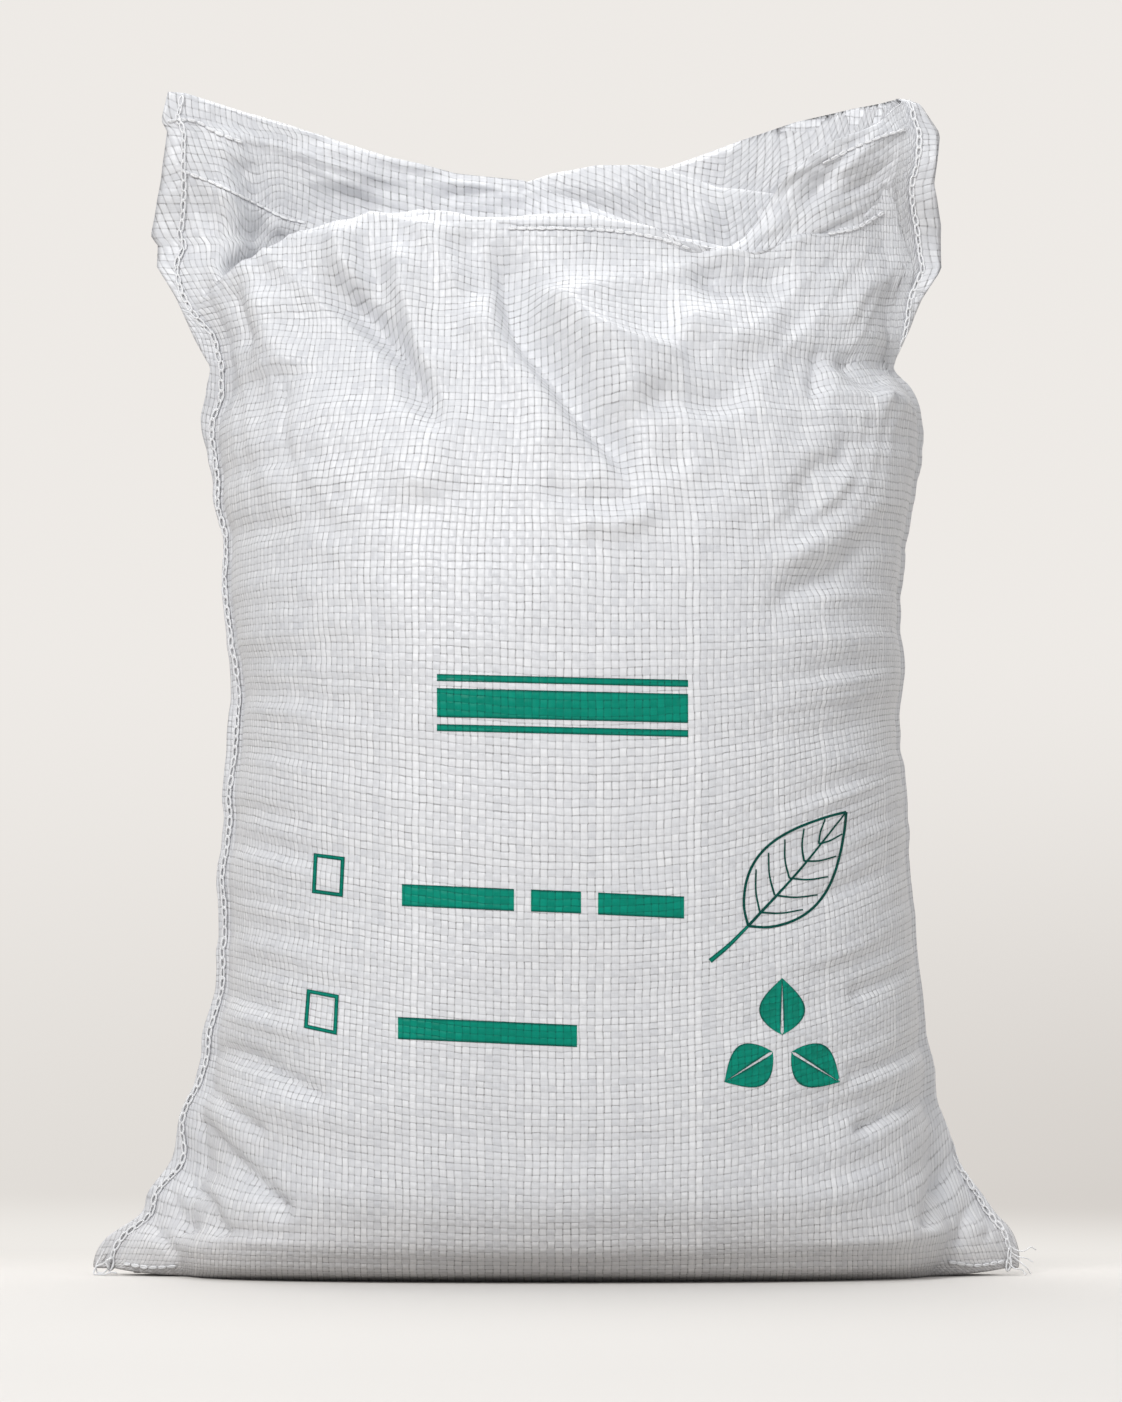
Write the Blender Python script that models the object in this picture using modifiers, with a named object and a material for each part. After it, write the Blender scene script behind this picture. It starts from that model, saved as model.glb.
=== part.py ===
"""A filled sack of woven tape cloth, standing upright on its own flattened bottom.

The cloth is a rectangle folded in two and sewn down both sides and along the bottom. The
filling rounds the lower two thirds, the corners stay pinched, and the empty top slumps into
a trough between two raised ears. Metres, +Z up, the front towards -Y, the origin on the
floor under the middle of the sack.
"""

import math

import bpy
import numpy as np
from mathutils import Vector
from mathutils.bvhtree import BVHTree

# Overall sizes
SACK_HEIGHT = 0.639  # floor to the tips of the ears
CORNER_SPAN = 0.500  # bottom corner to bottom corner, the full width of the flat sack
CLOTH_HEIGHT = 0.760  # bottom seam to mouth, measured along the cloth
WAIST_LEFT = 0.177  # reach of the narrowest part to each side of the origin
WAIST_RIGHT = 0.186
BODY_DEPTH = 0.264  # front to back where the filling is deepest
BASE_DEPTH = 0.205  # front to back of the part that lies on the floor

# Mouth
FRONT_RIM_DIP = 0.078  # how far the middle of each rim hangs below the ears
BACK_RIM_DIP = 0.040
RIGHT_EAR_DIP = 0.003  # the right ear below the left one
RIM_GAP = 0.052  # between the front rim and the back rim at the middle
TROUGH_DEPTH = 0.040  # from the front rim down to where the two layers meet

# Seams
SEAM_MARGIN = 0.0055  # cloth that stands out past the side stitches
SEAM_THICKNESS = 0.0034  # both layers and their folded edges
CORNER_LIFT = 0.0036  # middle of the pinched corner above the floor
GROOVE_DEPTH = 0.0040  # the bottom seam is drawn up off the floor
GROOVE_WIDTH = 0.0080

# Threads
THREAD = 0.0014  # diameter of the sewing thread
CLEARANCE = 0.0005  # thread to cloth
HEM = 0.0100  # rim to its line of stitches
THREAD_POINTS = 64
EASING_STEPS = 16

# The outline runs from 0, at the waist, to 1, at the bottom corners: (share of height, spread)
LEFT_OUTLINE = (
    (0.000, 1.00), (0.030, 0.92), (0.054, 0.63), (0.095, 0.46), (0.172, 0.25), (0.350, 0.07),
    (0.516, 0.00), (0.600, 0.05), (0.715, 0.19), (0.765, 0.12), (0.824, 0.36), (0.879, 0.58),
    (0.940, 0.47), (1.000, 0.44),
)
RIGHT_OUTLINE = (
    (0.000, 1.00), (0.041, 0.92), (0.068, 0.70), (0.097, 0.49), (0.190, 0.26), (0.350, 0.09),
    (0.540, 0.00), (0.606, 0.04), (0.714, 0.21), (0.764, -0.04), (0.815, 0.12), (0.880, 0.36),
    (0.950, 0.32), (1.000, 0.12),
)
# Half the depth against height, as a share of half of BODY_DEPTH above the rounded foot
DEPTH = (
    (0.000, 0.000), (0.012, 0.440), (0.035, 0.680), (0.080, 0.890), (0.160, 1.000),
    (0.400, 1.000), (0.560, 0.940), (0.680, 0.760), (0.760, 0.480), (0.830, 0.020),
)
# The filled part of a cross section, as a share of its width, and the roundness of that part
FILLED = ((0.00, 0.83), (0.06, 0.90), (0.14, 0.955), (0.26, 0.985), (0.70, 0.985), (0.80, 0.95), (0.88, 0.90),
          (1.00, 0.94))
ROUNDNESS = ((0.00, 2.6), (0.10, 2.35), (0.30, 2.2), (0.70, 2.2), (0.85, 2.0), (1.00, 1.9))
PINCH = 0.30  # depth of the empty cloth beside the seams, as a share of half the depth
# Each rim from the left seam to the right seam: (share across, share of its dip)
FRONT_RIM = ((-1.0, 0.00), (-0.96, 0.34), (-0.88, 0.76), (-0.73, 0.93), (-0.60, 0.87), (-0.43, 0.77),
             (-0.23, 0.87), (0.00, 0.87), (0.28, 0.93), (0.50, 1.11), (0.67, 1.00), (0.80, 0.88), (0.92, 0.52),
             (1.0, 0.00))
BACK_RIM = ((-1.0, 0.00), (-0.74, 0.47), (-0.47, 0.91), (-0.12, 1.22), (0.17, 0.94), (0.33, 0.96), (0.54, 0.60),
            (0.85, 0.16), (1.0, 0.00))

COLUMNS = 22  # of the cage, from seam to seam on each panel
FLOOR_ROWS = 4
WALL_ROWS = 16
CORNER_ROWS = 0.028  # the corner's share of the floor rows, which climb the side seam

CLOTH_COLOUR = (0.735, 0.737, 0.748, 1.0)
THREAD_COLOUR = (0.86, 0.86, 0.86, 1.0)


def clear_scene():
    """Remove every object, so the script gives the same result wherever it is run."""
    for obj in list(bpy.data.objects):
        bpy.data.objects.remove(obj, do_unlink=True)


def smooth(table, at):
    """Value at a place along a table of points, on a curve through them."""
    places, values = (np.array(column) for column in zip(*table))
    slopes = np.gradient(values, places)
    at = min(max(at, places[0]), places[-1])
    k = min(int(np.searchsorted(places, at, side="right")) - 1, len(places) - 2)
    step = places[k + 1] - places[k]
    t = (at - places[k]) / step
    keep = (1 + 2 * t) * (1 - t) ** 2 * values[k] + t * t * (3 - 2 * t) * values[k + 1]
    turn = t * (1 - t) ** 2 * slopes[k] - t * t * (1 - t) * slopes[k + 1]
    return float(keep + step * turn)


def reach(height, side):
    """Distance from the middle to the edge of the seam margin, for side -1 or 1."""
    waist, outline = (WAIST_LEFT, LEFT_OUTLINE) if side < 0 else (WAIST_RIGHT, RIGHT_OUTLINE)
    spread = smooth(outline, height / SACK_HEIGHT)
    return waist + (CORNER_SPAN / 2 - waist) * spread


def half_depth(height):
    """Half of the depth at a height, from the edge that lies on the floor up to the mouth."""
    share = smooth(DEPTH, height / SACK_HEIGHT)
    if height > 0.5 * SACK_HEIGHT:
        return RIM_GAP / 2 + (BODY_DEPTH - RIM_GAP) / 2 * share
    return BASE_DEPTH / 2 + (BODY_DEPTH - BASE_DEPTH) / 2 * share


def rim_height(across, facing):
    """Height of the front rim (facing -1) or the back rim (facing 1)."""
    ears = SACK_HEIGHT - RIGHT_EAR_DIP * (1 + across) / 2
    if facing < 0:
        return ears - FRONT_RIM_DIP * smooth(FRONT_RIM, across)
    return ears - BACK_RIM_DIP * smooth(BACK_RIM, across)


def section(turn, height, facing):
    """Point of the rounded cross section, turn running from the left seam to the right."""
    share = height / SACK_HEIGHT
    side = -1 if turn < math.pi / 2 else 1
    width = abs(math.cos(turn))
    power = smooth(ROUNDNESS, share)
    filled = max(1 - (width / min(smooth(FILLED, share), 0.985)) ** power, 0) ** (1 / power)
    pinched = PINCH * max(1 - width**8, 0)
    depth = (filled**4 + pinched**4) ** 0.25
    x = side * (reach(height, side) - SEAM_MARGIN) * width
    y = facing * (SEAM_THICKNESS / 2 + (half_depth(height) - SEAM_THICKNESS / 2) * depth)
    return Vector((x, y, height))


def cloth(turn, along, facing):
    """Point of a panel, along being the distance from the bottom seam along the cloth."""
    edge = section(turn, 0, facing)
    across = -math.cos(turn)
    lift = CORNER_LIFT * across**12
    foot = abs(edge.y)
    if along <= foot:
        return Vector((edge.x, facing * max(along, SEAM_THICKNESS / 2), lift))
    share = (along - foot) / (CLOTH_HEIGHT - foot)
    return section(turn, lift + (rim_height(across, facing) - lift) * share, facing)


def seam_margin(along, side, facing):
    """Outer edge of the margin beside the side seam, square to the seam's run."""
    turn = 0 if side < 0 else math.pi
    here = cloth(turn, along, facing)
    step = 0.012
    run = cloth(turn, min(along + step, CLOTH_HEIGHT), facing) - cloth(turn, max(along - step, 0), facing)
    out = Vector((side * run.z, 0, -side * run.x)).normalized()
    edge = here + out * SEAM_MARGIN
    edge.z = max(edge.z, CORNER_LIFT)
    return edge


def ring(place, margin):
    """One closed loop of the cage: front panel, right margin, back panel, left margin."""
    turns = [math.pi * i / COLUMNS for i in range(COLUMNS + 1)]
    front = [place(turn, -1) for turn in turns]
    back = [place(turn, 1) for turn in reversed(turns)]
    return front + [margin(1, -1), margin(1, 1)] + back + [margin(-1, 1), margin(-1, -1)]


def lying(turn):
    """Distance from the bottom seam to where the cloth leaves the floor, kept up at the corners."""
    return (abs(section(turn, 0, 1).y) ** 4 + CORNER_ROWS**4) ** 0.25


def row_at(row, turn):
    """Distance of a row of the cage from the bottom seam, so that one row follows the foot."""
    foot = lying(turn)
    if row <= FLOOR_ROWS:
        return GROOVE_WIDTH / 2 + (foot - GROOVE_WIDTH / 2) * row / FLOOR_ROWS
    return foot + (CLOTH_HEIGHT - foot) * ((row - FLOOR_ROWS) / WALL_ROWS) ** 1.25


def cloth_ring(row):
    def margin(side, facing):
        turn = 0 if side < 0 else math.pi
        return seam_margin(row_at(row, turn), side, facing)

    return ring(lambda turn, facing: cloth(turn, row_at(row, turn), facing), margin)


def groove_ring():
    """The bottom seam itself, drawn up into the groove."""
    def lifted(point):
        return Vector((point.x, math.copysign(SEAM_THICKNESS / 2, point.y), max(point.z, GROOVE_DEPTH)))

    return [lifted(point) for point in cloth_ring(0)]


def inner_ring(drop, inward):
    """A loop inside the mouth, this far below the rims and this share of the way across to the middle."""
    def inside(turn, facing):
        across = -math.cos(turn)
        near, far = (cloth(turn, CLOTH_HEIGHT, side) for side in (facing, -facing))
        point = near.lerp(far, inward / 2)
        point.z = min(near.z, far.z) - drop * (1 - across**8)
        return point

    def edge(side, facing):
        point = seam_margin(CLOTH_HEIGHT, side, facing)
        return Vector((point.x, point.y * (1 - inward), point.z))

    return ring(inside, edge)


def strip(bm, loop, top):
    """Close a loop by joining its front half to its back half, end to end."""
    count = len(loop)
    order = [loop[-1], *loop[: COLUMNS + 1], loop[COLUMNS + 1]]
    other = [loop[-2], *reversed(loop[COLUMNS + 3: count - 2]), loop[COLUMNS + 2]]
    for k in range(len(order) - 1):
        face = [order[k], order[k + 1], other[k + 1], other[k]]
        bm.faces.new(face if top else face[::-1])


def keep_sharp(bm, loops):
    """Crease the front rim, the back rim, the groove's lips and the outer edges of both margins."""
    crease = bm.edges.layers.float.new("crease_edge")
    right, left = (COLUMNS + 1, COLUMNS + 2), (2 * COLUMNS + 4, 2 * COLUMNS + 5)
    count = len(loops[0])
    for loop in (loops[1], loops[-3]):
        for k in range(count):
            bm.edges.get((loop[k], loop[(k + 1) % count]))[crease] = 1.0
    for lower, upper in zip(loops, loops[1:]):
        for k in (*right, *left):
            bm.edges.get((lower[k], upper[k]))[crease] = 1.0


def make_sack(parts):
    """Loft the loops into a cage and round it."""
    import bmesh

    bm = bmesh.new()
    points = [groove_ring(), *(cloth_ring(row) for row in range(FLOOR_ROWS + WALL_ROWS + 1))]
    points += [inner_ring(TROUGH_DEPTH / 3, 0.35), inner_ring(TROUGH_DEPTH, 0.80)]
    loops = [[bm.verts.new(point) for point in ring_points] for ring_points in points]
    for lower, upper in zip(loops, loops[1:]):
        for k in range(len(lower)):
            after = (k + 1) % len(lower)
            bm.faces.new((lower[k], lower[after], upper[after], upper[k]))
    strip(bm, loops[0], top=False)
    strip(bm, loops[-1], top=True)
    keep_sharp(bm, loops)
    mesh = bpy.data.meshes.new("sack")
    bm.to_mesh(mesh)
    bm.free()
    mesh.shade_smooth()
    sack = bpy.data.objects.new("sack", mesh)
    parts.objects.link(sack)
    rounding = sack.modifiers.new("soft cloth", "SUBSURF")
    rounding.levels = rounding.render_levels = 1
    mesh.materials.append(finish("woven cloth", CLOTH_COLOUR, 0.48))
    return sack


def finish(name, colour, roughness):
    """A plain Principled material."""
    material = bpy.data.materials.new(name)
    material.use_nodes = True
    shader = material.node_tree.nodes["Principled BSDF"]
    shader.inputs["Base Color"].default_value = colour
    shader.inputs["Roughness"].default_value = roughness
    shader.inputs["Metallic"].default_value = 0.0
    material.diffuse_color = colour
    return material


def make_thread(parts, name, points):
    """A sewing thread as a thin tube through these points."""
    curve = bpy.data.curves.new(name, "CURVE")
    curve.dimensions = "3D"
    curve.bevel_depth = THREAD / 2
    curve.bevel_resolution = 1
    curve.use_fill_caps = True
    spline = curve.splines.new("POLY")
    spline.points.add(len(points) - 1)
    for knot, point in zip(spline.points, points):
        knot.co = (*point, 1)
    thread = bpy.data.objects.new(name, curve)
    parts.objects.link(thread)
    curve.materials.append(bpy.data.materials.get("thread") or finish("thread", THREAD_COLOUR, 0.6))
    return thread


def laid_on(surface, point, facing):
    """Where a thread lies on the outside of the cloth beside this point of a panel."""
    outside = point + Vector((0, facing * SEAM_THICKNESS, 0))
    hit, normal, _, _ = surface.find_nearest(outside)
    return hit + normal * (THREAD / 2 + CLEARANCE)


def eased(surface, points):
    """Lift a thread off the cloth wherever it, or its run to the next point, is too close."""
    least = THREAD / 2 + CLEARANCE
    for step in range(EASING_STEPS):
        if step < EASING_STEPS // 2:
            points[1:-1] = [(a + b * 2 + c) / 4 for a, b, c in zip(points, points[1:], points[2:])]
        for k in range(len(points) - 1):
            middle = (points[k] + points[k + 1]) / 2
            for probe, moved in ((points[k], (k,)), (middle, (k, k + 1))):
                hit, normal, _, _ = surface.find_nearest(probe)
                outside = (probe - hit).dot(normal)
                if outside < least:
                    for which in moved:
                        points[which] = points[which] + normal * (least - outside)
    return points


def side_stitches(surface, side):
    """The line of stitches up a side seam, on the front of its margin."""
    points = []
    for along in np.linspace(0.02, CLOTH_HEIGHT - 0.02, THREAD_POINTS):
        seam = cloth(0 if side < 0 else math.pi, along, -1)
        edge = seam_margin(along, side, -1)
        point = seam.lerp(edge, 0.55)
        points.append(laid_on(surface, point, -1))
    return eased(surface, points)


def hem_stitches(surface, facing):
    """The line of stitches below a rim, on the outside of its panel."""
    points = []
    for turn in np.linspace(0.16, math.pi - 0.16, THREAD_POINTS):
        rim = cloth(turn, CLOTH_HEIGHT, facing)
        below = cloth(turn, CLOTH_HEIGHT - HEM, facing)
        fall = (below - rim).normalized()
        point = rim + fall * HEM
        points.append(laid_on(surface, point, facing))
    return eased(surface, points)


def bottom_stitches():
    """The line of stitches in the groove under the sack."""
    half = CORNER_SPAN / 2 - SEAM_MARGIN - GROOVE_WIDTH
    height = GROOVE_DEPTH - THREAD / 2 - CLEARANCE
    return [Vector((x, 0, height)) for x in np.linspace(-half, half, THREAD_POINTS // 4)]


def build():
    clear_scene()
    parts = bpy.data.collections.new("compost bag")
    bpy.context.scene.collection.children.link(parts)
    sack = make_sack(parts)
    surface = BVHTree.FromObject(sack, bpy.context.evaluated_depsgraph_get())
    make_thread(parts, "left_seam_thread", side_stitches(surface, -1))
    make_thread(parts, "right_seam_thread", side_stitches(surface, 1))
    make_thread(parts, "front_hem_thread", hem_stitches(surface, -1))
    make_thread(parts, "back_hem_thread", hem_stitches(surface, 1))
    make_thread(parts, "bottom_seam_thread", bottom_stitches())


build()
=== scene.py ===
"""The look of a filled compost bag of woven tape cloth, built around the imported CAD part.

The sack is one closed cloth: the front panel rises to a soft bulge at the mouth, folds back
through the rumpled layers and comes down as the back panel. Places that were read off the
picture are kept as picture points and put on the cloth through the view that the camera has.
Metres, +Z up, the front towards -Y.
"""

import logging
import math
from dataclasses import dataclass, field
from enum import Enum
from functools import partial
from typing import Any

import bmesh
import bpy
import numpy as np
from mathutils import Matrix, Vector
from mathutils.bvhtree import BVHTree


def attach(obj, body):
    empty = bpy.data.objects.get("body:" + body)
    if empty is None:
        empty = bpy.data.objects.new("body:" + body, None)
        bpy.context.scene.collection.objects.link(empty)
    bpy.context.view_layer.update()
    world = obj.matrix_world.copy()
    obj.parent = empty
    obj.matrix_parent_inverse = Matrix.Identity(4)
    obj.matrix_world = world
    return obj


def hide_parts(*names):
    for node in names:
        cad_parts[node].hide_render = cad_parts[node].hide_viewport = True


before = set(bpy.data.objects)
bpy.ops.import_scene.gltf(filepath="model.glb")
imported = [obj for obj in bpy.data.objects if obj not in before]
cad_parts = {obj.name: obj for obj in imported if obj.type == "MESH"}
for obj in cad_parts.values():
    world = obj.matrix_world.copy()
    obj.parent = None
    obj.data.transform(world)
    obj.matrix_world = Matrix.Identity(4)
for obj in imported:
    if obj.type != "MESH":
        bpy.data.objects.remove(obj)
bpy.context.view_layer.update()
BODY = "root"
log = logging.getLogger("compost_bag")

Array = np.ndarray
Table = tuple[tuple[float, float], ...]
Face = tuple[int, ...]
Colour = tuple[float, float, float, float]
Triple = tuple[float, float, float]
Patch = tuple[Array, Array, list[Face]]


class Slot(Enum):
    """The record's material slots."""

    CLOTH = "woven_cloth"
    THREAD = "thread"


class Place(Enum):
    """The part of the sack that a crease lies on."""

    FRONT = "front"
    EAR = "ear"
    BACK = "back"


# Numbers on curves


def smooth(table: Table, at: Array | float) -> Array:
    """Read a table of points along the curve through them.

    Args:
        table: Points as (place, value), by rising place.
        at: Places to read.

    Returns:
        The values there, held at both ends.
    """
    places, values = (np.array(column, float) for column in zip(*table))
    slopes = np.gradient(values, places)
    at = np.clip(np.asarray(at, float), places[0], places[-1])
    k = np.clip(np.searchsorted(places, at, side="right") - 1, 0, len(places) - 2)
    step = places[k + 1] - places[k]
    t = (at - places[k]) / step
    keep = (1 + 2 * t) * (1 - t) ** 2 * values[k] + t * t * (3 - 2 * t) * values[k + 1]
    turn = t * (1 - t) ** 2 * slopes[k] - t * t * (1 - t) * slopes[k + 1]
    return keep + step * turn


def ease(low: float, high: float, at: Array | float) -> Array:
    """Rise smoothly from 0 at low to 1 at high."""
    t = np.clip((np.asarray(at, float) - low) / (high - low), 0, 1)
    return t * t * (3 - 2 * t)


def noise(seed: int, x: Array, y: Array) -> Array:
    """Smooth random values between -1 and 1 on a lattice of unit cells.

    Args:
        seed: Fixes the lattice.
        x: First coordinate, in cells.
        y: Second coordinate, in cells.

    Returns:
        One value for each place.
    """
    lattice = np.random.default_rng(seed).uniform(-1, 1, (256, 256))
    column, row = np.floor(x).astype(int), np.floor(y).astype(int)
    u, v = x - column, y - row
    u, v = u * u * (3 - 2 * u), v * v * (3 - 2 * v)
    corner = [lattice[(column + i) % 256, (row + j) % 256] for i in (0, 1) for j in (0, 1)]
    return (corner[0] * (1 - v) + corner[1] * v) * (1 - u) + (corner[2] * (1 - v) + corner[3] * v) * u


def layered(seed: int, x: Array, y: Array, layers: tuple[Triple, ...]) -> Array:
    """Add up noises.

    Args:
        seed: The seed of the first one; the others follow.
        x: First coordinate.
        y: Second coordinate.
        layers: For each noise its cells along x and y, and its height.

    Returns:
        One value for each place.
    """
    return sum(noise(seed + k, x * a, y * b) * height for k, (a, b, height) in enumerate(layers))


def along(points: Array) -> Array:
    """Distance of each point from the first, along the line through them."""
    return np.concatenate(([0], np.cumsum(np.linalg.norm(np.diff(points, axis=0), axis=1))))


def unit(vectors: Array) -> Array:
    """The same directions, each one long."""
    return vectors / np.maximum(np.linalg.norm(vectors, axis=-1, keepdims=True), 1e-12)


def resampled(points: Array, step: float) -> Array:
    """The same line with points about this far apart, on a curve through the given ones."""
    run = along(points)
    places = np.linspace(0, run[-1], max(int(round(run[-1] / step)), 1) + 1)
    tables = [tuple(zip(run, points[:, axis])) for axis in range(points.shape[1])]
    return np.stack([smooth(table, places) for table in tables], axis=1)


def linked(name: str, data: Any) -> Any:
    """Put an object with this data in the scene."""
    made = bpy.data.objects.new(name, data)
    bpy.context.scene.collection.objects.link(made)
    return made


# The view


@dataclass
class View:
    """The camera, and the way from picture points to places and back."""

    image_width: float = 1122
    image_height: float = 1402
    distance: float = 3.0
    height: float = 0.14
    across: float = 0.0027
    pitch: float = math.radians(3.206)
    focal: float = 5575.0  # in picture points
    sensor: float = 36.0

    @property
    def eye(self) -> Array:
        """Where the camera stands."""
        return np.array([self.across, -self.distance, self.height])

    def seen(self, places: Array) -> Array:
        """Picture points of places in space.

        Args:
            places: Array of (x, y, z) rows.

        Returns:
            Array of (px, py) rows.
        """
        away = places - self.eye
        forward = np.array([0, math.cos(self.pitch), math.sin(self.pitch)])
        up = np.array([0, -math.sin(self.pitch), math.cos(self.pitch)])
        depth = away @ forward
        right = away[..., 0] / depth * self.focal + self.image_width / 2
        down = self.image_height / 2 - (away @ up) / depth * self.focal
        return np.stack([right, down], axis=-1)

    def ray(self, points: Array) -> Array:
        """Directions from the eye through picture points."""
        right = (points[..., 0] - self.image_width / 2) / self.focal
        up = (self.image_height / 2 - points[..., 1]) / self.focal
        sine, cosine = math.sin(self.pitch), math.cos(self.pitch)
        return np.stack([right, cosine - up * sine, sine + up * cosine], axis=-1)

    def at(self, points: Array | Table, depth: Array | float = 0.0) -> Array:
        """Places in space of picture points on a surface at a given y.

        Args:
            points: Rows of (px, py).
            depth: The y of each place.

        Returns:
            Rows of (x, y, z).
        """
        direction = self.ray(np.asarray(points, float))
        reach = (np.asarray(depth) - self.eye[1]) / direction[..., 1]
        return self.eye + direction * reach[..., None]

    def build(self) -> None:
        """Make the camera."""
        data = bpy.data.cameras.new("camera")
        data.sensor_width = self.sensor
        data.lens = self.focal / self.image_height * self.sensor
        camera = linked("camera", data)
        camera.location = self.eye
        camera.rotation_euler = (math.pi / 2 + self.pitch, 0, 0)
        bpy.context.scene.camera = camera


# Shader maths


class Value:
    """One socket of a node tree, with sums written as Python expressions."""

    def __init__(self, tree: Any, socket: Any) -> None:
        """Wrap an output socket of this tree."""
        self.tree = tree
        self.socket = socket

    def math(self, operation: str, *others: Any) -> "Value":
        """A Math node on this value and others."""
        made = self.tree.nodes.new("ShaderNodeMath")
        made.operation = operation
        for place, item in enumerate((self, *others)):
            put(self.tree, made.inputs[place], item)
        return Value(self.tree, made.outputs[0])

    def __add__(self, other: Any) -> "Value":
        """Sum."""
        return self.math("ADD", other)

    __radd__ = __add__

    def __mul__(self, other: Any) -> "Value":
        """Product."""
        return self.math("MULTIPLY", other)

    __rmul__ = __mul__

    def __sub__(self, other: Any) -> "Value":
        """Difference."""
        return self.math("SUBTRACT", other)

    def __rsub__(self, other: float) -> "Value":
        """A number less this value."""
        return self.math("MULTIPLY", -1.0).math("ADD", other)

    def __truediv__(self, other: Any) -> "Value":
        """Quotient."""
        return self.math("DIVIDE", other)

    def floor(self) -> "Value":
        """Whole part."""
        return self.math("FLOOR")

    def fract(self) -> "Value":
        """Part after the whole one."""
        return self.math("FRACT")

    def abs(self) -> "Value":
        """Size without sign."""
        return self.math("ABSOLUTE")

    def cos(self) -> "Value":
        """Cosine."""
        return self.math("COSINE")

    def largest(self, other: Any) -> "Value":
        """The larger of two."""
        return self.math("MAXIMUM", other)

    def step(self, low: Any, high: Any) -> "Value":
        """Rise smoothly from 0 at low to 1 at high."""
        smoothly = {"interpolation_type": "SMOOTHSTEP"}
        reach = {"Value": self, "From Min": low, "From Max": high}
        return taken(self.tree, "ShaderNodeMapRange", "Result", smoothly, **reach)

    def above(self, limit: float) -> "Value":
        """1 where this value is above a limit."""
        return self.math("GREATER_THAN", limit)


def put(tree: Any, socket: Any, item: Any) -> None:
    """Link a Value to an input socket, or set the socket to a plain value."""
    if isinstance(item, Value):
        tree.links.new(item.socket, socket)
    else:
        socket.default_value = item


def add(tree: Any, kind: str, settings: dict[str, Any] | None = None, **sockets: Any) -> Any:
    """Add a node of any kind.

    Args:
        tree: The node tree.
        kind: The node's type name.
        settings: Properties, set first.
        **sockets: Values or links by input name; "_" and a number stand for the input at that
            place, where names repeat.

    Returns:
        The node.
    """
    made = tree.nodes.new(kind)
    for name, value in (settings or {}).items():
        setattr(made, name, value)
    for name, item in sockets.items():
        numbered = name[0] == "_" and name[1:].isdigit()
        put(tree, made.inputs[int(name[1:]) if numbered else name], item)
    return made


def taken(
    tree: Any, kind: str, output: int | str = 0, settings: dict[str, Any] | None = None, **sockets: Any
) -> Value:
    """Add a node and take one of its outputs, by its place or name, see `add`."""
    return Value(tree, add(tree, kind, settings, **sockets).outputs[output])


def parts(item: Value, kind: str = "XYZ") -> list[Value]:
    """The x, y and z of a vector, or with the kind "Color" the parts of a colour."""
    split = add(item.tree, "ShaderNodeSeparate" + kind, _0=item)
    return [Value(item.tree, socket) for socket in split.outputs]


def blended(tree: Any, share: Any, first: Any, second: Any, how: str = "MIX") -> Value:
    """Mix two colours."""
    settings = {"data_type": "RGBA", "blend_type": how}
    return taken(tree, "ShaderNodeMix", 2, settings, _0=share, _6=first, _7=second)


def random_of(tree: Any, x: Any, y: Any) -> Value:
    """A fixed random number between 0 and 1 for each pair of whole numbers."""
    pair = taken(tree, "ShaderNodeCombineXYZ", X=x, Y=y)
    return taken(tree, "ShaderNodeTexWhiteNoise", "Value", {"noise_dimensions": "3D"}, Vector=pair)


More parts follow.
